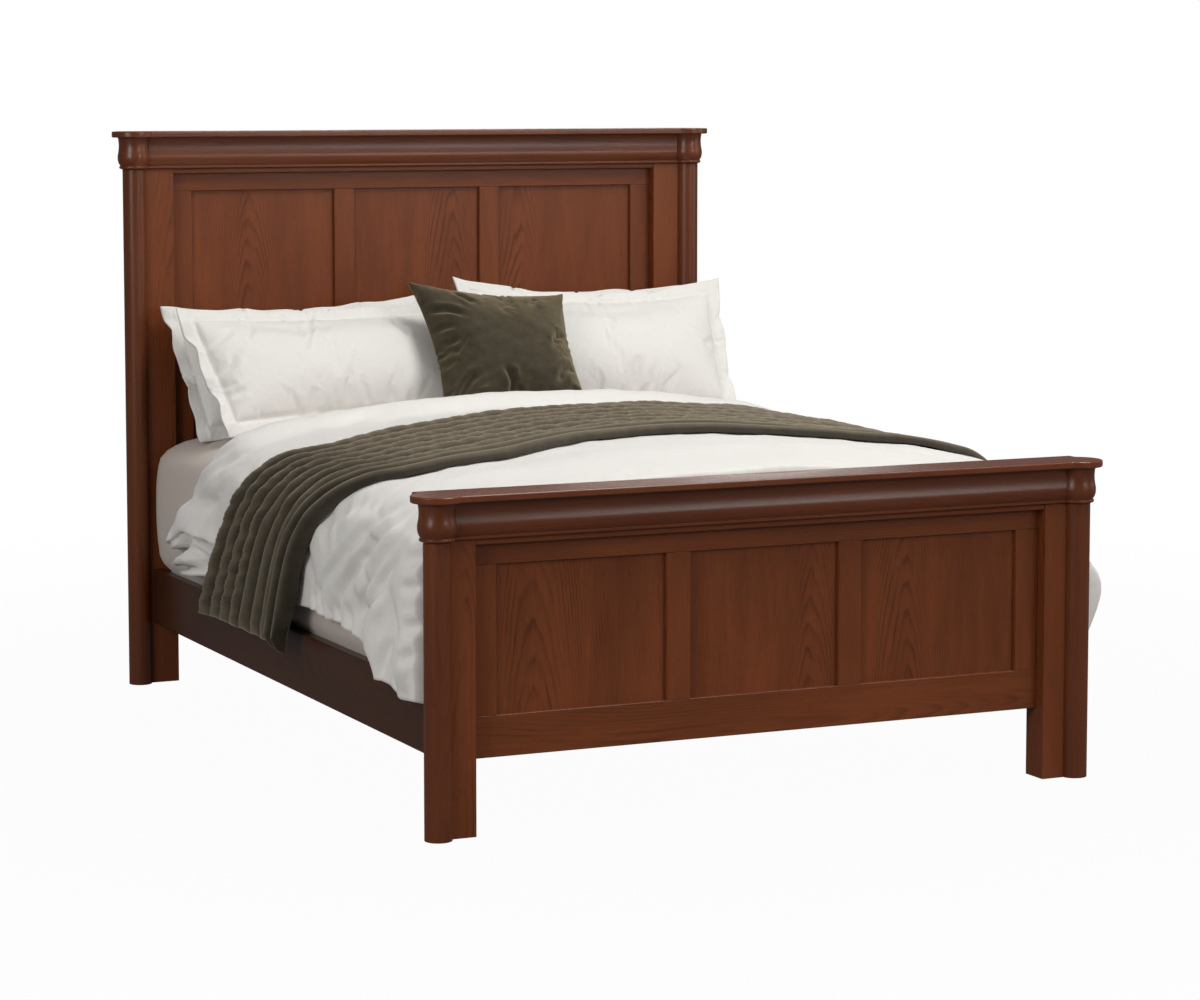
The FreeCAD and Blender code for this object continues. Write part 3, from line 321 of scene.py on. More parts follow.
def makeSteel():
    material, tree, shader = newMaterial("zincPlate")
    place = addNode(tree, "TexCoord").outputs["Object"]
    cloud = noiseOf(tree, place, 60, 3).outputs["Fac"]
    setInputs(tree, shader, {
        "Base Color": ramp(tree, cloud, [(0.3, (0.50, 0.50, 0.49)), (0.7, (0.66, 0.65, 0.62))]),
        "Roughness": calculate(tree, "MULTIPLY_ADD", cloud, 0.3, 0.22), "Metallic": 1.0})
    return material


def makeFelt():
    material, tree, shader = newMaterial("greyFelt")
    place = addNode(tree, "TexCoord").outputs["Object"]
    fuzz = noiseOf(tree, place, 900, 4).outputs["Fac"]
    bump = addNode(tree, "Bump", {"Height": fuzz, "Strength": 0.5, "Distance": 0.0006})
    setInputs(tree, shader, {
        "Base Color": ramp(tree, fuzz, [(0.3, (0.05, 0.045, 0.04)), (0.7, (0.12, 0.11, 0.10))]),
        "Roughness": 0.95, "Normal": bump.outputs[0]})
    return material


# ---- cloth finishes


def makeWeaveGroup():
    # UV is in metres: slubs are long thin thicker threads both ways, fuzz is the fine nap
    tree, given, out = newGroup("threadWeave", [
        ("UV", "Vector", (0, 0, 0)), ("Thread", "Float", 900.0), ("Slub", "Float", 0.5)],
        [("Tone", "Float"), ("Height", "Float")])
    warp = noiseOf(tree, spread(tree, given["UV"], (1400, 45, 1)), detail=2).outputs["Fac"]
    weft = noiseOf(tree, spread(tree, given["UV"], (45, 1400, 1)), detail=2).outputs["Fac"]
    slub = calculate(tree, "ADD", warp, weft)
    parts = addNode(tree, "SeparateXYZ", {0: given["UV"]}).outputs
    turns = calculate(tree, "MULTIPLY", given["Thread"], 2 * math.pi)
    across = calculate(tree, "SINE", calculate(tree, "MULTIPLY", parts["X"], turns))
    along = calculate(tree, "SINE", calculate(tree, "MULTIPLY", parts["Y"], turns))
    crossed = calculate(tree, "MULTIPLY", across, along)
    tree.links.new(calculate(tree, "MULTIPLY_ADD", slub, given["Slub"], crossed), out["Height"])
    tree.links.new(slub, out["Tone"])
    return tree


weaveGroup = makeWeaveGroup()


def makeCloth(name, pale, deep, bumpDeep=0.0003):
    material, tree, shader = newMaterial(name)
    place = addNode(tree, "UVMap", uv_map="clothPlace").outputs["UV"]
    out = addNode(tree, "Group", {"UV": place, "Thread": 900.0, "Slub": 0.8}, node_tree=weaveGroup).outputs
    bump = addNode(tree, "Bump", {"Height": out["Height"], "Strength": 0.25, "Distance": bumpDeep})
    crease = noiseOf(tree, spread(tree, place, (14, 22, 1)), detail=4, rough=0.6).outputs["Fac"]
    soft = addNode(tree, "Bump", {"Height": crease, "Strength": 0.35, "Distance": 0.006,
                                  "Normal": bump.outputs[0]})
    setInputs(tree, shader, {
        "Base Color": blendColours(tree, rescaled(tree, out["Tone"], 0.75, 1.25), deep, pale),
        "Roughness": 0.9, "Specular IOR Level": 0.2, "Sheen Weight": 0.15, "Sheen Roughness": 0.5,
        "Normal": soft.outputs[0]})
    return material


def makeVelvet(name, pale, deep, sheen, tint, facing):
    # velvet's colour is scaled darker where it faces the eye and brighter where it turns away: a painted
    # sheen, beside the shader's own sheen
    material, tree, shader = newMaterial(name)
    place = addNode(tree, "UVMap", uv_map="clothPlace").outputs["UV"]
    nap = noiseOf(tree, spread(tree, place, (24, 34, 1)), detail=5, rough=0.65).outputs["Fac"]
    fuzz = noiseOf(tree, place, 900, 3).outputs["Fac"]
    tone = calculate(tree, "MULTIPLY_ADD", fuzz, 0.5, calculate(tree, "MULTIPLY", nap, 0.9))
    tone = rescaled(tree, tone, 0.44, 0.96)
    bump = addNode(tree, "Bump", {"Height": fuzz, "Strength": 0.3, "Distance": 0.0005})
    turned = addNode(tree, "LayerWeight", {"Blend": 0.5, "Normal": bump.outputs[0]}).outputs["Facing"]
    # painted sheen: the colour's scale goes from the first to the second number as the surface turns from
    # the eye
    paintedSheen = rescaled(tree, turned, 0.15, 0.9, *facing)
    colour = blendColours(tree, tone, deep, pale)
    paintedSheenColour = addNode(tree, "VectorMath", {0: colour, "Scale": paintedSheen}, operation="SCALE").outputs[0]
    setInputs(tree, shader, {
        "Base Color": paintedSheenColour, "Roughness": 0.75, "Specular IOR Level": 0.25, "Sheen Weight": sheen,
        "Sheen Roughness": 0.38, "Sheen Tint": (*tint, 1), "Normal": bump.outputs[0]})
    return material


linen = makeCloth("whiteLinen", (0.785, 0.765, 0.738), (0.725, 0.705, 0.675))
fittedSheet = makeCloth("fittedSheet", (0.56, 0.49, 0.44), (0.51, 0.445, 0.40), bumpDeep=0.0002)
# the last pair scales each velvet's colour from facing the eye to turned away: painted sheen
throwVelvet = makeVelvet("throwVelvet", (0.098, 0.078, 0.052), (0.046, 0.037, 0.025), 0.35,
                         (0.80, 0.72, 0.54), (0.46, 1.85))
cushionVelvet = makeVelvet("cushionVelvet", (0.078, 0.061, 0.034), (0.030, 0.024, 0.013), 0.4,
                           (0.80, 0.72, 0.52), (0.75, 2.6))
steel = makeSteel()
felt = makeFelt()
print("materials made")

# ---- wooden pieces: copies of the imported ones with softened, lacquered edges

woodPieces = {
    # name: way of the grain and finish
    "post_left": ("z", "frameLacquer"),
    "post_right": ("z", "frameLacquer"),
    "column_left": ("z", "cherryLacquer"),
    "column_right": ("z", "cherryLacquer"),
    "capitals": ("z", "cherryLacquer"),
    "crown_moulding": ("x", "cherryLacquer"),
    "crown_returns": ("y", "cherryLacquer"),
    "cap": ("x", "capLacquer"),
    "frieze_rail": ("x", "frameLacquer"),
    "top_rail": ("x", "frameLacquer"),
    "bottom_rail": ("x", "frameLacquer"),
    "stiles": ("z", "frameLacquer"),
    "muntins": ("z", "frameLacquer"),
    "panel_left": ("z", "panelLacquer"),
    "panel_centre": ("z", "panelLacquer"),
    "panel_right": ("z", "panelLacquer"),
}
woodEdges = {"bevel": 0.0009, "bevelFrom": math.radians(40), "smoothTo": math.radians(38),
             "merge": 0.00002, "level": math.radians(0.5)}
steelNodes = ("levelling_foot_foot", "levelling_foot_head", "rail_hook_plates", "post_cross_pins",
              "centre_beam_brackets")
grainTurns = {"x": (2, 1, 0), "y": (0, 2, 1), "z": (0, 1, 2)}
boardsMade = 0


def editAll(piece):
    bpy.ops.object.select_all(action="DESELECT")
    bpy.context.view_layer.objects.active = piece
    piece.select_set(True)
    bpy.ops.object.mode_set(mode="EDIT")
    bpy.ops.mesh.select_mode(type="VERT")
    bpy.ops.mesh.select_all(action="SELECT")


def addGrain(piece, way, number):
    # each board is cut from another place of the tree
    count = len(piece.data.vertices)
    spots = np.zeros(count * 3)
    piece.data.vertices.foreach_get("co", spots)
    spots = spots.reshape(-1, 3)
    spots = spots - (spots.min(0) + spots.max(0)) / 2
    spots = spots[:, grainTurns[way]]
    shift = np.array((math.sin(number * 2.4) * 0.13, math.cos(number * 1.7) * 0.01, number * 1.37 % 7))
    layer = piece.data.attributes.new("grainPlace", "FLOAT_VECTOR", "POINT")
    layer.data.foreach_set("vector", (spots + shift).ravel())


def lacquer(node, way, finish):
    global boardsMade
    boardsMade += 1
    piece = bpy.data.objects.new(node + "_lacquered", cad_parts[node].data.copy())
    bpy.context.collection.objects.link(piece)
    editAll(piece)
    bpy.ops.mesh.remove_doubles(threshold=woodEdges["merge"])
    bpy.ops.mesh.dissolve_limited(angle_limit=woodEdges["level"])
    bpy.ops.object.mode_set(mode="OBJECT")
    panelled = finish == "panelLacquer"
    if not panelled:
        bpy.ops.object.modifier_add(type="BEVEL")
        bevel = piece.modifiers[-1]
        bevel.width = woodEdges["bevel"]
        bevel.segments = 2
        bevel.limit_method = "ANGLE"
        bevel.angle_limit = woodEdges["bevelFrom"]
        bpy.ops.object.modifier_apply(modifier=bevel.name)
    bpy.ops.object.shade_smooth_by_angle(angle=woodEdges["smoothTo"])
    bpy.ops.object.modifier_add(type="WEIGHTED_NORMAL")
    piece.modifiers[-1].keep_sharp = True
    bpy.ops.object.modifier_apply(modifier=piece.modifiers[-1].name)
    addGrain(piece, way, boardsMade)
    piece.data.materials.clear()
    piece.data.materials.append(woods[finish])
    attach(piece, "bed_frame")
    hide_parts(node)


for board in ("footboard", "headboard"):
    for name, (way, finish) in woodPieces.items():
        lacquer(board + "_" + name, way, finish)
# the side rails take the darker lacquer, which paints in the duvet's shade
for node in ("side_rail_left", "side_rail_right"):
    lacquer(node, "y", "railPaintedShadeLacquer")
print("wooden pieces lacquered")

for node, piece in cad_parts.items():
    material = steel if node in steelNodes else felt if node == "post_glides" else woods["deckPine"]
    for number in range(len(piece.data.materials)):
        piece.data.materials[number] = material

# ---- soft goods


def easedBetween(places, values, wanted):
    # smooth values at the wanted places, through those given
    places, values = np.array(places, float), np.array(values, float)
    slopes = np.gradient(values, places, axis=0)
    spot = np.clip(np.searchsorted(places, wanted) - 1, 0, len(places) - 2)
    wide = places[spot + 1] - places[spot]
    share = (wanted - places[spot]) / wide
    shape = (-1,) + (1,) * (values.ndim - 1)
    share, wide = share.reshape(shape), wide.reshape(shape)
    out = (1 + 2 * share) * (1 - share) ** 2 * values[spot]
    out = out + share * (1 - share) ** 2 * wide * slopes[spot]
    out = out + share ** 2 * (3 - 2 * share) * values[spot + 1]
    return out + share ** 2 * (share - 1) * wide * slopes[spot + 1]


def runAlong(points):
    # how far along a line of points each of them lies
    return np.concatenate(([0], np.cumsum(np.linalg.norm(np.diff(points, axis=0), axis=1))))


def evenlySpaced(points, count):
    long = runAlong(points)
    wanted = np.linspace(0, long[-1], count)
    return np.stack([np.interp(wanted, long, points[:, k]) for k in range(points.shape[1])], 1)


def curveThrough(points, count):
    # a smooth line through the points, with its new points evenly spaced
    points = np.array(points, float)
    place = runAlong(points)
    line = easedBetween(place, points, np.linspace(0, place[-1], count * 8))
    return evenlySpaced(line, count)


def gridFaces(rows, columns, start=0, flip=False):
    number = np.arange(rows * columns).reshape(rows, columns) + start
    faces = np.stack([number[:-1, :-1], number[:-1, 1:], number[1:, 1:], number[1:, :-1]], -1).reshape(-1, 4)
    return faces[:, ::-1] if flip else faces


def ringFaces(rings, size):
    # the faces between closed rings of points, and the numbers of those points
    number = np.arange(rings * size).reshape(rings, size)
    after = np.roll(number, -1, axis=1)
    return number, np.stack([number[:-1], after[:-1], after[1:], number[1:]], -1).reshape(-1, 4)


def clothMesh(name, points, faces, places):
    mesh = bpy.data.meshes.new(name)
    mesh.from_pydata([tuple(p) for p in points], [], [tuple(int(v) for v in f) for f in faces])
    layer = mesh.uv_layers.new(name="clothPlace")
    order = np.zeros(len(mesh.loops), np.int32)
    mesh.loops.foreach_get("vertex_index", order)
    layer.data.foreach_set("uv", np.asarray(places, np.float32)[order].ravel())
    piece = bpy.data.objects.new(name, mesh)
    bpy.context.collection.objects.link(piece)
    editAll(piece)
    bpy.ops.mesh.remove_doubles(threshold=0.00005)
    bpy.ops.mesh.normals_make_consistent(inside=False)
    bpy.ops.object.mode_set(mode="OBJECT")
    bpy.ops.object.shade_smooth()
    return piece


def finishSoft(piece, material, body, slot, *nodes):
    piece.data.materials.clear()
    piece.data.materials.append(material)
    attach(piece, body)
    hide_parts(*nodes)


clothRules = {"mass": 0.3, "damping": 4, "stretch": 20, "shear": 8, "groupStep": 0.005}


def settle(points, faces, hold, plan, puffed=None):
    # lets cloth relax: slack makes it crease, pressure fills it, and hold ties it to its shape
    mesh = bpy.data.meshes.new("settling")
    mesh.from_pydata([tuple(p) for p in points], [], [tuple(int(v) for v in f) for f in faces])
    piece = bpy.data.objects.new("settling", mesh)
    bpy.context.collection.objects.link(piece)
    bpy.ops.object.select_all(action="DESELECT")
    bpy.context.view_layer.objects.active = piece
    for label, weights in (("hold", hold), ("puffed", puffed)):
        if weights is not None:
            group = piece.vertex_groups.new(name=label)
            for level in np.unique(np.round(weights, 2)):
                chosen = np.nonzero(np.abs(weights - level) <= clothRules["groupStep"])[0]
                if level > 0:
                    group.add([int(v) for v in chosen], float(level), "REPLACE")
    bpy.ops.object.modifier_add(type="CLOTH")
    cloth = piece.modifiers[-1]
    rules = cloth.settings
    rules.quality = plan["quality"]
    rules.mass = clothRules["mass"]
    rules.air_damping = clothRules["damping"]
    rules.tension_stiffness = rules.compression_stiffness = clothRules["stretch"]
    rules.shear_stiffness = clothRules["shear"]
    rules.bending_stiffness = plan["bend"]
    rules.shrink_min = plan["slack"]
    rules.effector_weights.gravity = 0
    rules.vertex_group_mass = "hold"
    rules.pin_stiffness = 1
    if puffed is not None:
        rules.use_pressure = True
        rules.uniform_pressure_force = plan["pressure"]
        rules.vertex_group_pressure = "puffed"
    cloth.collision_settings.use_collision = False
    cloth.point_cache.frame_start = 1
    cloth.point_cache.frame_end = plan["frames"]
    for number in range(1, plan["frames"] + 1):
        bpy.context.scene.frame_set(number)
    bpy.ops.object.modifier_apply(modifier=cloth.name)
    bpy.context.scene.frame_set(1)
    moved = np.zeros(len(mesh.vertices) * 3)
    piece.data.vertices.foreach_get("co", moved)
    bpy.data.objects.remove(piece)
    step = moved.reshape(-1, 3) - points
    far = np.linalg.norm(step, axis=1, keepdims=True)
    return points + step * np.minimum(1, plan["cap"] / np.maximum(far, 1e-9))


# the mattress: height over the slats and how far the outline is drawn in, in mm
mattress = {
    "half": 788, "foot": 95, "head": 2118, "corner": 62, "slatTop": 284, "around": 300,
    "levels": [(0.3, 42), (22, 24), (36, 22), (62, 4), (100, 0), (205, -1), (310, 0), (347, 5), (378, 33),
               (398, 78), (406, 128), (412, 240), (413, 500)],
    # its bare end bulges a little, in metres: from and over what length, about which level
    "bareFrom": 0.55, "bareOver": 0.25, "bulge": 0.016, "bulgeLevel": 0.49, "bulgeTall": 0.17,
}
footFace = -1.0727


def makeMattress():
    half, corner = mattress["half"], mattress["corner"]
    foot, head = mattress["foot"], mattress["head"]
    levels = curveThrough(mattress["levels"], 40)
    rings, places = [], []
    for height, inset in levels:
        bend = max(corner - inset / 4, 12)
        wide, low, high = half - inset - bend, foot + inset + bend, head - inset - bend
        ring = []
        for quarter, (x, y) in enumerate(((wide, high), (-wide, high), (-wide, low), (wide, low))):
            for step in range(13):
                turn = math.radians(90 * quarter + 7.5 * step)
                ring.append((x + bend * math.cos(turn), y + bend * math.sin(turn)))
        ring = np.array(ring + ring[:1])
        wanted = np.linspace(0, runAlong(ring)[-1], mattress["around"] + 1)[:-1]
        ring = evenlySpaced(ring, mattress["around"] + 1)[:-1]
        level = (mattress["slatTop"] + height) / 1000
        rings.append([(x / 1000, footFace + y / 1000, level) for x, y in ring])
        places.append([(w / 1000, (height + inset) / 1000) for w in wanted])
    points = np.array(rings)
    bare = np.clip((points[:, :, 1] - mattress["bareFrom"]) / mattress["bareOver"], 0, 1)
    middle = 1 - np.abs(points[:, :, 2] - mattress["bulgeLevel"]) / mattress["bulgeTall"]
    points[:, :, 0] *= 1 + mattress["bulge"] * bare * np.clip(middle, 0, 1) ** 0.5
    number, faces = ringFaces(*points.shape[:2])
    faces = [tuple(f) for f in faces] + [tuple(number[0][::-1]), tuple(number[-1])]
    piece = clothMesh("mattress_cover", points.reshape(-1, 3), faces, np.array(places).reshape(-1, 2))
    finishSoft(piece, fittedSheet, "mattress", "mattress_cover", "mattress")


# the duvet, in mm: sections from foot to head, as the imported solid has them
duvet = {
    "side": 825, "low": 600, "crownHalf": 700, "crownEdge": 742, "crown": 800, "fold": 440,
    "stations": (-475, -240, 0, 240, 475),
    "sections": [
        (91, 0, -30, (8, 12, 298), (117, 73, 304)),
        (150, 0, -20, (10, 18, 296), (104, 64, 308)),
        (235, 0, -10, (3, 9, 317), (58, 40, 326)),
        (325, 0, 0, (8, 20, 320), (18, 20, 346)),
        (370, 0, 0, (6, 14, 334), (0, 6, 351)),
        (400, 0, 0, (2, 8, 364), (0, 3, 352)),
        (445, 0, 0, (3, 10, 374), (0, 4, 358)),
        (540, 0, 0, (6, 16, 391), (0, 10, 366)),
        (680, 0, 0, (0, 3, 406), (0, 3, 380)),
        (1100, 0, 0, (0, 0, 395), (0, 0, 392)),
        (1320, 0.4, 0, (0, 0, 378), (0, 0, 384)),
        (1476, 0.74, 8, (2, 6, 367), (2, 6, 372)),
        (1500, 0.78, -14, (-16, -14, 374), (-16, -14, 380)),
    ],
    "rows": 120, "columns": 170,
    # in metres: room over the mattress, least thickness, round ends, least half width of its sides
    "play": 0.0025, "thick": 0.012, "edgeRound": 0.007, "hemInner": 0.799, "hemTop": 0.64,
    "sideFrom": 0.62, "sideOver": 0.13,
    "settle": {"frames": 20, "slack": -0.06, "bend": 0.8, "cap": 0.014, "quality": 4},
}


def duvetOutline():
    # shoulder, crown and shoulder: across, height and the way out at each point
    side, low, edgeX, edgeZ = (duvet[k] for k in ("side", "low", "crownHalf", "crownEdge"))
    rise, run = edgeZ - low, side - edgeX
    radius = (rise * rise + run * run) / (2 * run)
    turn = math.atan2(rise, edgeX - side + radius)
    shoulder = []
    for step in range(5):
        across, upward = math.cos(turn * step / 4), math.sin(turn * step / 4)
        shoulder.append((side - radius + radius * across, low + radius * upward, across, upward))
    sag = duvet["crown"] - edgeZ
    big = (edgeX * edgeX + sag * sag) / (2 * sag)
    crown = []
    for x in duvet["stations"]:
        tilt = math.asin(x / big)
        crown.append((x, big * math.cos(tilt) + duvet["crown"] - big, math.sin(tilt), math.cos(tilt)))
    return [(-x, z, -a, u) for x, z, a, u in shoulder] + crown + shoulder[::-1]


def duvetSurface():
    outline = duvetOutline()
    lowest, level = outline[0][1], duvet["crown"]
    sections, ways = [], []
    for up, lean, lift, left, right in duvet["sections"]:
        trim = min(left[0], 0)
        line = [(-duvet["side"] - left[1], left[2]), (-duvet["side"] - left[0], duvet["fold"])]
        for x, z, _, _ in outline:
            share = (z - lowest) / (level - lowest)
            line.append((x * (1 + trim / duvet["side"]), z + trim * share + lift * share))
        line += [(duvet["side"] + right[0], duvet["fold"]), (duvet["side"] + right[1], right[2])]
        line = curveThrough(line, duvet["columns"])
        ways.append(up)
        sections.append([(x, up + lean * (level - z), z) for x, z in line])
    wanted = np.linspace(ways[0], ways[-1], duvet["rows"])
    grid = easedBetween(ways, sections, wanted) / 1000
    grid[:, :, 1] += footFace
    return grid


def normalsOf(grid):
    along = np.gradient(grid, axis=0)
    across = np.gradient(grid, axis=1)
    normal = np.cross(across, along)
    return normal / np.maximum(np.linalg.norm(normal, axis=2, keepdims=True), 1e-9)


def ripples(grid, seed, stretch, depth):
    # soft uneven swells, in metres, sampled at each point of a grid
    out = np.zeros(grid.shape[:2])
    for row in range(grid.shape[0]):
        for column in range(grid.shape[1]):
            x, y, z = grid[row, column]
            spot = Vector((x * stretch[0] + seed, y * stretch[1], z * stretch[2]))
            out[row, column] = noise.noise(spot) + 0.5 * noise.noise(spot * 2.1)
    return out * depth


def finerGrid(grid, times):
    # more rows and columns on the same smooth surface
    for axis in (0, 1):
        count = grid.shape[axis]
        old = np.arange(count)
        new = np.linspace(0, count - 1, (count - 1) * times + 1)
        grid = np.moveaxis(easedBetween(old, np.moveaxis(grid, axis, 0), new), 0, axis)
    return grid


def pressFolds(places, folds):
    # how far each place moves out: a fold is a line in the places' plane, its width and its depth
    moved = np.zeros(len(places))
    for line, width, depth in folds:
        line, width, depth = np.array(line) / 1000, width / 1000, depth / 1000
        near = np.full(len(places), 9.0)
        share = np.zeros(len(places))
        if len(line) > 2:
            line = curveThrough(line, 9)
        count = len(line) - 1
        for number in range(count):
            first, second = line[number], line[number + 1]
            way = second - first
            along = np.clip(((places - first) @ way) / (way @ way), 0, 1)
            far = np.linalg.norm(places - first - along[:, None] * way, axis=1)
            closer = far < near
            near = np.where(closer, far, near)
            share = np.where(closer, (number + along) / count, share)
        fade = np.clip(np.minimum(share, 1 - share) * 4, 0.15, 1)
        beside = np.exp(-((near - 1.9 * width) / width) ** 2)
        moved += depth * (np.exp(-(near / width) ** 2) - 0.4 * beside) * fade
    return moved


def gridPlaces(grid):
    across = np.concatenate((np.zeros((grid.shape[0], 1)),
                             np.cumsum(np.linalg.norm(np.diff(grid, axis=1), axis=2), axis=1)), axis=1)
    along = np.concatenate((np.zeros((1, grid.shape[1])),
                            np.cumsum(np.linalg.norm(np.diff(grid, axis=0), axis=2), axis=0)), axis=0)
    return np.stack([across, along], -1)


def insideDuvet(grid):
    # the underside: on the mattress, and up against its sides
    half, top, play = mattress["half"] / 1000, mattress["slatTop"] / 1000, duvet["play"]
    clear = [(half - inset / 1000 + play, top + height / 1000 + play)
             for height, inset in mattress["levels"][6:12]][::-1]
    xs = np.array([c[0] for c in clear])
    zs = np.array([c[1] for c in clear])
    under = grid.copy()
    drawn = grid[:, :, 0] * (half + play) / (duvet["side"] / 1000)
    under[:, :, 0] = np.clip(drawn, -half - play, half + play)
    level = np.interp(np.abs(under[:, :, 0]), xs, zs)
    under[:, :, 2] = np.minimum(grid[:, :, 2] - duvet["thick"], level)
    return under


# each fold's line, width and depth, in mm: the sides' lines are (up the bed, height),
# and those on top (across, up the bed)
leftFolds = [
    # fanning down from the foot corner
    (((-800, 720), (-580, 580), (-334, 432)), 14, -10),
    (((-850, 700), (-640, 555), (-470, 423)), 14, -13),
    (((-888, 664), (-730, 535), (-581, 410)), 14, -14),
    (((-900, 632), (-780, 510), (-650, 370)), 16, -14),
    (((-620, 700), (-400, 620)), 18, -6),
    # puffed hem by the footboard's post
    (((-715, 330), (-760, 420), (-800, 540)), 45, 16),
    (((-882, 300), (-880, 370), (-865, 450)), 14, -18),
    (((-800, 305), (-810, 360), (-840, 420)), 13, -10),
    (((-945, 300), (-940, 400), (-930, 520)), 35, 12),
    (((-1005, 552), (-920, 535)), 14, -11),
    (((-1025, 470), (-930, 450)), 15, -13),
    (((-1015, 620), (-930, 600)), 14, -8),
    (((-990, 400), (-930, 380)), 12, -8),
    # small gathers along the left hem
    (((-348, 390), (-335, 450)), 10, -6),
    (((-403, 380), (-385, 460)), 12, -8),
    (((-450, 380), (-445, 430)), 10, -5),
    (((-500, 370), (-490, 440)), 13, -9),
    (((-568, 360), (-555, 440)), 11, -7),
    (((-660, 330), (-670, 430)), 12, -16),
    # soft creases over the head corner
    (((242, 740), (430, 650), (647, 491)), 13, -10),
    (((320, 740), (500, 650), (706, 510)), 13, -10),
    (((400, 735), (570, 650), (735, 540)), 12, -7),
    (((300, 640), (420, 560), (470, 520)), 16, -6),
    (((560, 600), (640, 520)), 12, -6),
    # the turned-under hem: a hollow, the roll below it and the under layer
    (((700, 520), (560, 530), (420, 525), (320, 520)), 28, 12),
    (((540, 486), (480, 478), (416, 474), (320, 466)), 13, -50),
    (((790, 402), (660, 416), (570, 440), (535, 478)), 9, -42),
    (((720, 385), (552, 415), (390, 438)), 11, 12),
    (((790, 362), (572, 388), (370, 412)), 7, -24),
    (((640, 470), (700, 455)), 22, 12),
]
rightFolds = [
    (((-930, 310), (-925, 400), (-940, 480)), 18, -12),
    (((-870, 330), (-880, 440), (-870, 600)), 22, -12),
    (((-720, 360), (-750, 500), (-800, 640)), 20, -8),
    (((-400, 380), (-450, 520), (-550, 680)), 18, -7),
    (((-100, 370), (-120, 480), (-180, 600)), 18, -7),
    (((420, 380), (400, 520), (360, 660)), 18, -7),
    (((620, 390), (580, 520), (500, 660)), 16, -8),
]
topFolds = [
    (((-700, -620), (-560, -480), (-380, -420)), 20, -4),
    (((-620, 330), (-500, 400), (-360, 420)), 16, -4),
    (((-560, 260), (-420, 310), (-260, 300)), 16, -3),
    (((100, -560), (300, -520), (450, -560)), 20, -3),
    (((500, 330), (620, 360), (700, 430)), 16, -4),
]
# the sides' head ends, in metres: how far they hang towards the head by height, how far the left corner
# stands out, and the roll that hangs over the hollow in it
headHang = {
    "heights": (0.385, 0.415, 0.450, 0.500, 0.560, 0.625, 0.690),
    "shifts": (-0.050, 0.026, 0.070, 0.052, 0.022, 0.006, 0),
    "from": 0.22, "over": 0.28, "outFrom": 0.60, "outOver": 0.15,
    "cornerLevel": 0.48, "cornerTall": 0.09, "cornerOut": 0.020,
    "hollowUp": (0.30, 0.54, 0.78), "hollowLevel": (0.466, 0.486, 0.404),
    "rollAbove": 0.026, "rollTall": 0.016, "rollDrop": 0.020, "rollOut": 0.006, "rollOver": 0.05,
}


def layFolds(grid):
    # both sides' folds lie in the plane of y and z, those on top in that of x and y
    flat = grid.reshape(-1, 3)
    normal = normalsOf(grid).reshape(-1, 3)
    moved = np.zeros(len(flat))
    side = np.clip((np.abs(flat[:, 0]) - 0.70) / 0.05, 0, 1)
    moved += pressFolds(flat[:, 1:3], leftFolds) * side * (flat[:, 0] < 0)
    moved += pressFolds(flat[:, 1:3], rightFolds) * side * (flat[:, 0] > 0)
    moved += pressFolds(flat[:, 0:2], topFolds) * (1 - side)
    return (flat + normal * moved[:, None]).reshape(grid.shape)


def hangHead(grid):
    near = np.clip((grid[:, :, 1] - headHang["from"]) / headHang["over"], 0, 1)
    outer = np.clip((np.abs(grid[:, :, 0]) - headHang["outFrom"]) / headHang["outOver"], 0, 1)
    grid[:, :, 1] += near * outer * np.interp(grid[:, :, 2], headHang["heights"], headHang["shifts"])
    level = 1 - np.abs(grid[:, :, 2] - headHang["cornerLevel"]) / headHang["cornerTall"]
    corner = near * outer * np.clip(level, 0, 1) * (grid[:, :, 0] < 0)
    grid[:, :, 0] -= headHang["cornerOut"] * corner


def overhang(grid):
    # the roll at the head corner hangs over its hollow, and both hems stay clear of the mattress
    x, y, z = grid[:, :, 0], grid[:, :, 1], grid[:, :, 2]
    hollow = np.interp(y, headHang["hollowUp"], headHang["hollowLevel"])
    over = np.exp(-((z - hollow - headHang["rollAbove"]) / headHang["rollTall"]) ** 2)
    over = over * np.clip((y - headHang["hollowUp"][0]) / headHang["rollOver"], 0, 1) * (x < -0.7)
    grid[:, :, 2] -= headHang["rollDrop"] * over
    grid[:, :, 0] -= headHang["rollOut"] * over
    inner = np.where(grid[:, :, 2] < duvet["hemTop"], duvet["hemInner"], 0)
    grid[:, :, 0] = np.where(np.abs(grid[:, :, 0]) < inner, np.sign(grid[:, :, 0]) * inner, grid[:, :, 0])


def settleDuvet(grid):
    # its top is held while its sides crease, and only part of what the cloth does is kept
    rows, columns = grid.shape[:2]
    edge = np.minimum(np.arange(rows), np.arange(rows)[::-1])[:, None] * np.ones((1, columns))
    high = np.clip((grid[:, :, 2] - duvet["sideFrom"]) / duvet["sideOver"], 0, 1)
    hold = np.clip(0.03 + 0.42 * high + 0.5 * np.clip(1 - edge / 4, 0, 1), 0, 1)
    settled = settle(grid.reshape(-1, 3), gridFaces(rows, columns), hold.ravel(), duvet["settle"])
    step = settled.reshape(rows, columns, 3) - grid
    for _ in range(3):
        step = blurred(step)
    return grid + step * (0.22 + 0.55 * (1 - high))[..., None]


def roundedEnds(upper, lower):
    # rings before and after the grids, in which the upper and the lower side close in on each other
    turns = [math.radians(angle) for angle in (18, 36, 54, 72, 90)]
    ends = {}
    for end, way, order in ((0, -1, turns[::-1]), (-1, 1, turns)):
        middle = (upper[end] + lower[end]) / 2
        for side in (upper, lower):
            rings = []
            for turn in order:
                out = np.array((0, way * duvet["edgeRound"] * math.sin(turn), 0))
                rings.append(middle + (side[end] - middle) * math.cos(turn) + out)
            ends[end, side is upper] = rings
    return [np.array([*ends[0, top], *side, *ends[-1, top]])
            for side, top in ((upper, True), (lower, False))]


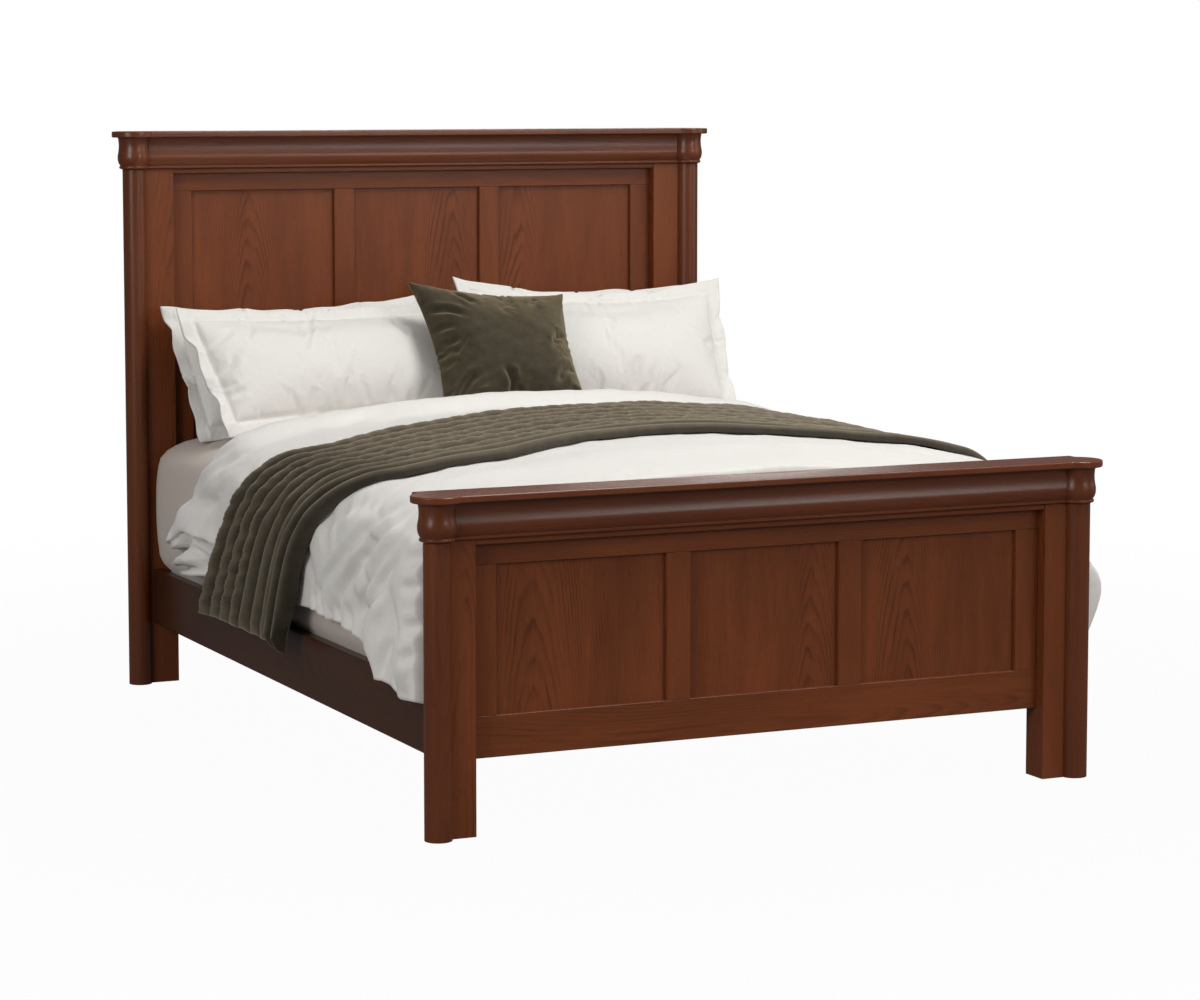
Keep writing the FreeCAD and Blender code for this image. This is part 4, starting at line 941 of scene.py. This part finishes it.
def makeDuvet():
    grid = duvetSurface()
    uneven = ripples(grid, 3.0, (5, 4, 4), 0.005) + ripples(grid, 9.0, (13, 9, 9), 0.002)
    grid = grid + normalsOf(grid) * uneven[..., None]
    hangHead(grid)
    grid = finerGrid(settleDuvet(grid), 2)
    print("duvet settled")
    grid = layFolds(grid)
    overhang(grid)
    place = gridPlaces(grid)
    place = np.array([place[0]] * 5 + list(place) + [place[-1]] * 5)
    upper, lower = roundedEnds(grid, insideDuvet(grid))
    points = np.concatenate([upper, lower[:, ::-1]], axis=1)
    spots = np.concatenate([place, place[:, ::-1]], axis=1)
    faces = ringFaces(*points.shape[:2])[1]
    piece = clothMesh("duvet_cover", points.reshape(-1, 3), faces, spots.reshape(-1, 2))
    finishSoft(piece, linen, "duvet", "white_linen", "duvet")
    return piece


throw = {
    "hem": 290, "rightHem": 430,
    "edges": [(700, 1300), (640, 1245), (580, 1190), (520, 1125), (460, 1065), (455, 1110), (520, 1165),
              (560, 1220), (515, 1290), (430, 1340), (360, 1380), (357, 1385), (355, 1390), (352, 1395),
              (350, 1400)],
    "firstEdge": (893, 1580), "lastEdge": (340, 1410),
    "rolls": (64, 60), "rollSwell": (38, 17), "channels": 7, "base": 3, "swell": 15,
    # in metres: how far rays look for the duvet, what stands for a miss, and the gap over it
    "reach": 0.08, "miss": -0.02, "gap": 0.0035,
    # share of the width from the foot, and how much higher or lower the hem ends there
    "hemRise": ((0, 46), (0.02, 16), (0.045, -20), (0.075, 4), (0.088, 12), (0.10, 2), (0.13, -16),
                (0.165, 2), (0.25, -6), (0.33, -2), (0.41, -6), (0.49, -2), (0.57, -5), (0.65, -4),
                (0.8, -6), (1, -12)),
    "long": 330, "wide": 190, "hangFrom": 660,
}


def blurred(values):
    edges = ((1, 1), (1, 1)) + ((0, 0),) * (values.ndim - 2)
    padded = np.pad(values, edges, mode="edge")
    return (padded[:-2, 1:-1] + padded[2:, 1:-1] + padded[1:-1, :-2] + padded[1:-1, 2:]
            + 4 * padded[1:-1, 1:-1]) / 8


def throwLine():
    # from hem to hem: place, way out, and how far up the bed both edges lie
    side = duvet["side"]
    stations = [(-side, throw["hem"], -1.0, 0.0, *throw["firstEdge"])]
    stations += [(*spot, *edge) for spot, edge in zip(duvetOutline(), throw["edges"])]
    stations.append((side, throw["rightHem"], 1.0, 0.0, *throw["lastEdge"]))
    return curveThrough(stations, throw["long"])


def liftOver(under, base, facing, line):
    # how far the throw lies out of its plain line: over all that stands out of the duvet under it
    mesh = under.data
    tree = BVHTree.FromPolygons([v.co for v in mesh.vertices], [f.vertices for f in mesh.polygons])
    out = np.zeros(base.shape[:2])
    reach = throw["reach"]
    for spot in np.ndindex(out.shape):
        ray = Vector(facing[spot])
        hit = tree.ray_cast(Vector(base[spot]) + ray * reach, -ray, 2 * reach)
        out[spot] = reach - hit[3] if hit[0] is not None else throw["miss"]
    # both ends hang straight down from the widest line of the duvet's sides
    hanging = np.nonzero(line[:, 1] < throw["hangFrom"])[0]
    leftEnd, rightEnd = hanging[line[hanging, 0] < 0], hanging[line[hanging, 0] > 0]
    out[leftEnd] = np.maximum.accumulate(out[leftEnd[::-1]], axis=0)[::-1]
    out[rightEnd] = np.maximum.accumulate(out[rightEnd], axis=0)
    lifted = out.copy()
    for _ in range(170):
        lifted = np.maximum(blurred(lifted), out)
    for _ in range(14):
        lifted = blurred(lifted)
    return lifted + throw["gap"]


def quilting(low, base, along, across, wide):
    # how thick the throw is: two rolls, then sewn channels with small puckers across them
    first, second = (roll / 1000 for roll in throw["rolls"])
    down = np.clip((0.72 - base[..., 2]) / 0.14, 0, 1) * (base[..., 0] < 0)
    hangingRoll, lyingRoll = throw["rollSwell"]
    rollHigh = (lyingRoll + (hangingRoll - lyingRoll) * down) / 1000
    rolled = np.zeros(down.shape)
    for start, size in ((0, first), (first, second)):
        inside = np.clip((across - start) / size, 0, 1)
        rolled = np.maximum(rolled, np.sqrt(np.clip(1 - (2 * inside - 1) ** 2, 0, 1)))
    channel = (across - first - second) / (wide - first - second) * throw["channels"]
    crown = np.abs(np.sin(math.pi * np.clip(channel, 0, None)))
    headHalf = np.clip((channel - 2.6) / 1.0, 0, 1)
    lane = np.floor(channel)
    wave = along / 0.058 + 0.16 * np.sin(lane * 2.1) + 0.22 * np.sin(along * 21 + lane) + 0.12 * channel
    dent = (0.5 + 0.5 * np.cos(2 * math.pi * wave)) ** 3
    gather = np.sin(2 * math.pi * (along / 0.0145 + 0.4 * np.sin(lane * 3.3) + 0.5 * channel))
    pucker = down * headHalf * (-0.0062 * dent + 0.0016 * gather * (0.35 + (1 - crown)))
    pucker = pucker - (1 - down) * 0.0022 * dent + 0.0004 * gather
    lump = ripples(low, 21.0, (16, 16, 16), 0.0014)
    filled = crown ** 0.55 * (throw["swell"] / 1000 + pucker + lump)
    height = np.where(channel < 0, rolled * rollHigh, filled)
    height = height + throw["base"] / 1000
    fromHem = np.minimum(along, along.max(0) - along)
    height = height * np.clip(fromHem / 0.035, 0, 1) ** 0.5
    height[:, 0] = height[:, -1] = 0.001
    height[0] = height[-1] = 0.002
    return height


def makeThrow(under):
    line = throwLine()
    way = line[:, 2:4] / np.linalg.norm(line[:, 2:4], axis=1, keepdims=True)
    share = np.linspace(0, 1, throw["wide"])
    y = footFace + (line[:, 4:5] + (line[:, 5:6] - line[:, 4:5]) * share) / 1000
    base = np.stack([line[:, 0:1] / 1000 + 0 * y, y, line[:, 1:2] / 1000 + 0 * y], -1)
    facing = np.stack([way[:, 0:1] + 0 * y, 0 * y, way[:, 1:2] + 0 * y], -1)
    low = base + facing * liftOver(under, base, facing, line)[..., None]
    wide = (line[:, 5:6] - line[:, 4:5]) / 1000
    across = share * wide
    along = runAlong(line[:, :2] / 1000)[:, None] + 0 * y
    height = quilting(low, base, along, across, wide)
    low[..., 2] += np.interp(share, *np.array(throw["hemRise"]).T) / 1000 * np.clip(1 - along / 0.10, 0, 1)
    top = low + facing * height[..., None]
    places = np.stack([along, across], -1)
    points = np.concatenate([top, low[:, ::-1]], axis=1)
    spots = np.concatenate([places, places[:, ::-1]], axis=1)
    rows, columns = points.shape[:2]
    number, faces = ringFaces(rows, columns)
    ends = []
    for row in (0, rows - 1):
        for k in range(columns // 2 - 1):
            around = (k, k + 1, columns - 2 - k, columns - 1 - k)
            ends.append(tuple(number[row, column] for column in around))
    faces = [tuple(f) for f in faces] + ends
    piece = clothMesh("quilted_throw", points.reshape(-1, 3), faces, spots.reshape(-1, 2))
    finishSoft(piece, throwVelvet, "throw", "olive_velvet", "throw")


pads = {
    # node: middle across, up the bed, level, lean, roll, half the width and height over the border
    "pillow_back_left": (-402, 2000, 894, 28, -1, 398, 208),
    "pillow_back_right": (402, 2000, 897, 28, 1, 398, 210),
    "pillow_front_left": (-378, 1860, 893, 33, -2, 412, 208),
    "pillow_front_right": (444, 1858, 907, 33, 2, 412, 224),
    "accent_cushion": (84, 1716, 908, 33, 1.5, 218, 218),
}
pillowKind = {
    "thick": 0.054, "border": 0.038, "drawnIn": 0.016, "fill": 0.6, "material": linen,
    "body": "pillows", "slot": "white_linen",
    "settle": {"frames": 22, "slack": -0.022, "bend": 0.3, "pressure": 3.0, "cap": 0.020, "quality": 4},
}
cushionKind = {
    "thick": 0.066, "border": 0, "drawnIn": 0.021, "fill": 0.7, "material": cushionVelvet,
    "body": "accent_cushion", "slot": "olive_velvet",
    "settle": {"frames": 22, "slack": -0.035, "bend": 0.2, "pressure": 3.0, "cap": 0.020, "quality": 4},
}
padStep = 0.009       # between the points of a pad's grid, in metres
seamHalf = 0.0025     # half the thickness at the edge
# how far each corner is pulled from the plain shape (across, up), in mm: bottom left and right, then
# top left and right
pulls = {
    "pillow_back_left": ((66, -26), (0, 0), (28, -40), (0, -34)),
    "pillow_back_right": ((0, 0), (-50, 0), (0, -42), (-4, -26)),
    "pillow_front_left": ((86, 8), (-10, 0), (22, -16), (-6, -44)),
    "pillow_front_right": ((10, 0), (-44, 0), (0, -4), (-8, -4)),
    "accent_cushion": ((-2, 6), (0, 0), (-20, 4), (-12, -34)),
}
waves = {"pillow_back_left": 1, "pillow_front_left": 1, "pillow_back_right": 0.4, "pillow_front_right": 0.35}
sags = {"pillow_front_right": 0.034, "pillow_front_left": 0.012, "pillow_back_left": 0.02}
# each crease's line (across, up) from the pad's middle, its width and depth, in mm
creases = {
    "pillow_front_left": [
        (((-400, 60), (-330, 85), (-280, 120)), 10, -6),
        (((-390, -30), (-330, 0), (-300, 30)), 12, -9),
        (((-370, -100), (-310, -80)), 10, -7),
        (((60, -170), (50, -90)), 10, -6),
        (((-50, -170), (-40, -110)), 9, -5),
        (((-300, 150), (-120, 120), (80, 130)), 20, -4),
    ],
    "pillow_front_right": [
        (((60, -170), (80, -50)), 12, -6),
        (((120, -170), (130, -80)), 10, -5),
        (((260, 60), (350, -20)), 12, -5),
        (((-200, 140), (0, 120), (200, 145)), 20, -4),
    ],
    "accent_cushion": [
        (((-215, 120), (-150, 105), (-120, 85)), 9, -12),
        (((-210, 60), (-160, 60)), 8, -10),
        (((-210, 10), (-150, 20)), 9, -10),
        (((-190, -190), (-150, -120), (-110, -90)), 12, -19),
        (((-165, -205), (-120, -150), (-90, -140)), 9, 10),
        (((-40, -200), (-30, -120), (-50, -80)), 10, -15),
        (((0, -200), (-10, -140)), 9, -14),
        (((60, -205), (50, -150)), 9, -10),
        (((205, 60), (150, 30), (120, -10)), 10, -12),
        (((210, -60), (150, -80), (110, -130)), 12, -14),
        (((205, -150), (150, -140)), 9, -10),
        (((-120, 190), (-80, 130)), 10, -9),
        (((120, 190), (90, 140)), 10, -9),
    ],
}


def leaningPlace(x, up, level, lean, roll):
    return (Matrix.Translation((x / 1000, footFace + up / 1000, level / 1000))
            @ Matrix.Rotation(math.radians(-lean), 4, "X") @ Matrix.Rotation(math.radians(roll), 4, "Y"))


def padGrid(node, kind, halfWide, halfTall, turn):
    # two faces that swell between a flat, wavy border, or meet in a seam when there is none
    border, drawnIn = kind["border"], kind["drawnIn"]
    wave, sag = waves.get(node, 0), sags.get(node, 0)
    columns, rows = int(halfWide * 2 / padStep) | 1, int(halfTall * 2 / padStep) | 1
    gridU, gridV = np.meshgrid(np.linspace(-1, 1, columns), np.linspace(-1, 1, rows))
    x = gridU * halfWide * (1 - drawnIn / halfWide * (1 - gridV ** 2))
    z = gridV * halfTall * (1 - drawnIn / halfTall * (1 - gridU ** 2))
    z -= sag * (1 - gridU ** 2) * (1 + gridV) / 2
    for (moveX, moveZ), (signU, signV) in zip(pulls[node], ((-1, -1), (1, -1), (-1, 1), (1, 1))):
        near = (1 + signU * gridU) / 2 * (1 + signV * gridV) / 2
        x += near ** 1.5 * moveX / 1000
        z += near ** 1.5 * moveZ / 1000
    inU = np.clip(np.abs(gridU) * halfWide / (halfWide - border), 0, 1) if border else np.abs(gridU)
    inV = np.clip(np.abs(gridV) * halfTall / (halfTall - border), 0, 1) if border else np.abs(gridV)
    swell = seamHalf + kind["thick"] * ((1 - inU ** 2.6) ** 0.55 * (1 - inV ** 2.2) ** 0.6)
    lean = np.zeros(x.shape)
    if border:
        flap = np.clip((np.abs(gridU) * halfWide - halfWide + border) / border, 0, 1)
        lean += wave * flap * (0.010 * np.sin(gridV * 7.3 + turn) + 0.005 * np.sin(gridV * 15 + 2 * turn))
        rim = np.maximum(np.abs(gridU) - 0.90, 0) * 10
        x += wave * rim * 0.003 * np.sin(gridV * 9 + 1.7 * turn)
        flap = np.clip((np.abs(gridV) * halfTall - halfTall + border) / border, 0, 1)
        lean += wave * flap * (0.005 * np.sin(gridU * 9.1 + turn) + 0.003 * np.sin(gridU * 21 + turn))
        z += flap * 0.002 * np.sin(gridU * 13 + turn)
    return x, z, swell, lean


def padFaces(rows, columns):
    faces = [tuple(f) for f in gridFaces(rows, columns)]
    faces += [tuple(f) for f in gridFaces(rows, columns, rows * columns, True)]
    number = np.arange(rows * columns).reshape(rows, columns)
    rim = np.concatenate([number[0, :-1], number[:-1, -1], number[-1, :0:-1], number[:0:-1, 0]])
    second = rim + rows * columns
    for k in range(len(rim)):
        after = (k + 1) % len(rim)
        faces.append((rim[after], rim[k], second[k], second[after]))
    return faces


def padDetail(face, halfWide, halfTall, border, node, outward):
    # the stitched line inside the border and the creases, on a finer grid of one face
    rows, columns = face.shape[:2]
    gridU, gridV = np.meshgrid(np.linspace(-halfWide, halfWide, columns),
                               np.linspace(-halfTall, halfTall, rows))
    edge = np.minimum(halfWide - np.abs(gridU), halfTall - np.abs(gridV))
    if border:
        far = np.maximum(np.abs(gridU) - halfWide, np.abs(gridV) - halfTall) + border
        face[:, :, 1] -= outward * 0.0035 * np.exp(-(far / 0.006) ** 2)
    if outward < 0:
        spots = np.stack([gridU, gridV], -1).reshape(-1, 2)
        folded = pressFolds(spots, creases.get(node, [])).reshape(rows, columns)
        face[:, :, 1] -= folded * np.clip((edge - border) / 0.012 + 0.1, 0, 1)
    return face


def makePad(name, node, kind, place, halfWide, halfTall, turn):
    x, z, swell, lean = padGrid(node, kind, halfWide, halfTall, turn)
    rows, columns = x.shape
    faces = padFaces(rows, columns)
    points = np.concatenate([np.stack([x, lean + way * swell, z], -1).reshape(-1, 3) for way in (-1, 1)])
    filled = np.clip((swell.ravel() - seamHalf) / 0.008, 0, 1)
    hold = np.concatenate([0.35 * (1 - filled)] * 2)
    points = settle(points, faces, hold, kind["settle"], np.concatenate([filled] * 2))
    print(name, "settled")
    sides = []
    for side, outward in zip(points.reshape(2, rows, columns, 3), (-1, 1)):
        face = finerGrid(side, 2)
        sides.append(padDetail(face, halfWide, halfTall, kind["border"], node, outward).reshape(-1, 3))
    spots = finerGrid(np.stack([x, z], -1), 2).reshape(-1, 2)
    faces = padFaces(rows * 2 - 1, columns * 2 - 1)
    piece = clothMesh(name, np.concatenate(sides), faces, np.concatenate([spots] * 2))
    piece.data.transform(place)
    finishSoft(piece, kind["material"], kind["body"], kind["slot"], node)


makeMattress()
makeThrow(makeDuvet())
for turn, (node, (x, up, level, lean, roll, wide, tall)) in enumerate(pads.items(), start=1):
    cushion = node == "accent_cushion"
    makePad("velvet_cushion" if cushion else node + "_sham", node, cushionKind if cushion else pillowKind,
            leaningPlace(x, up, level, lean, roll), wide / 1000, tall / 1000, turn)
print("soft goods made")
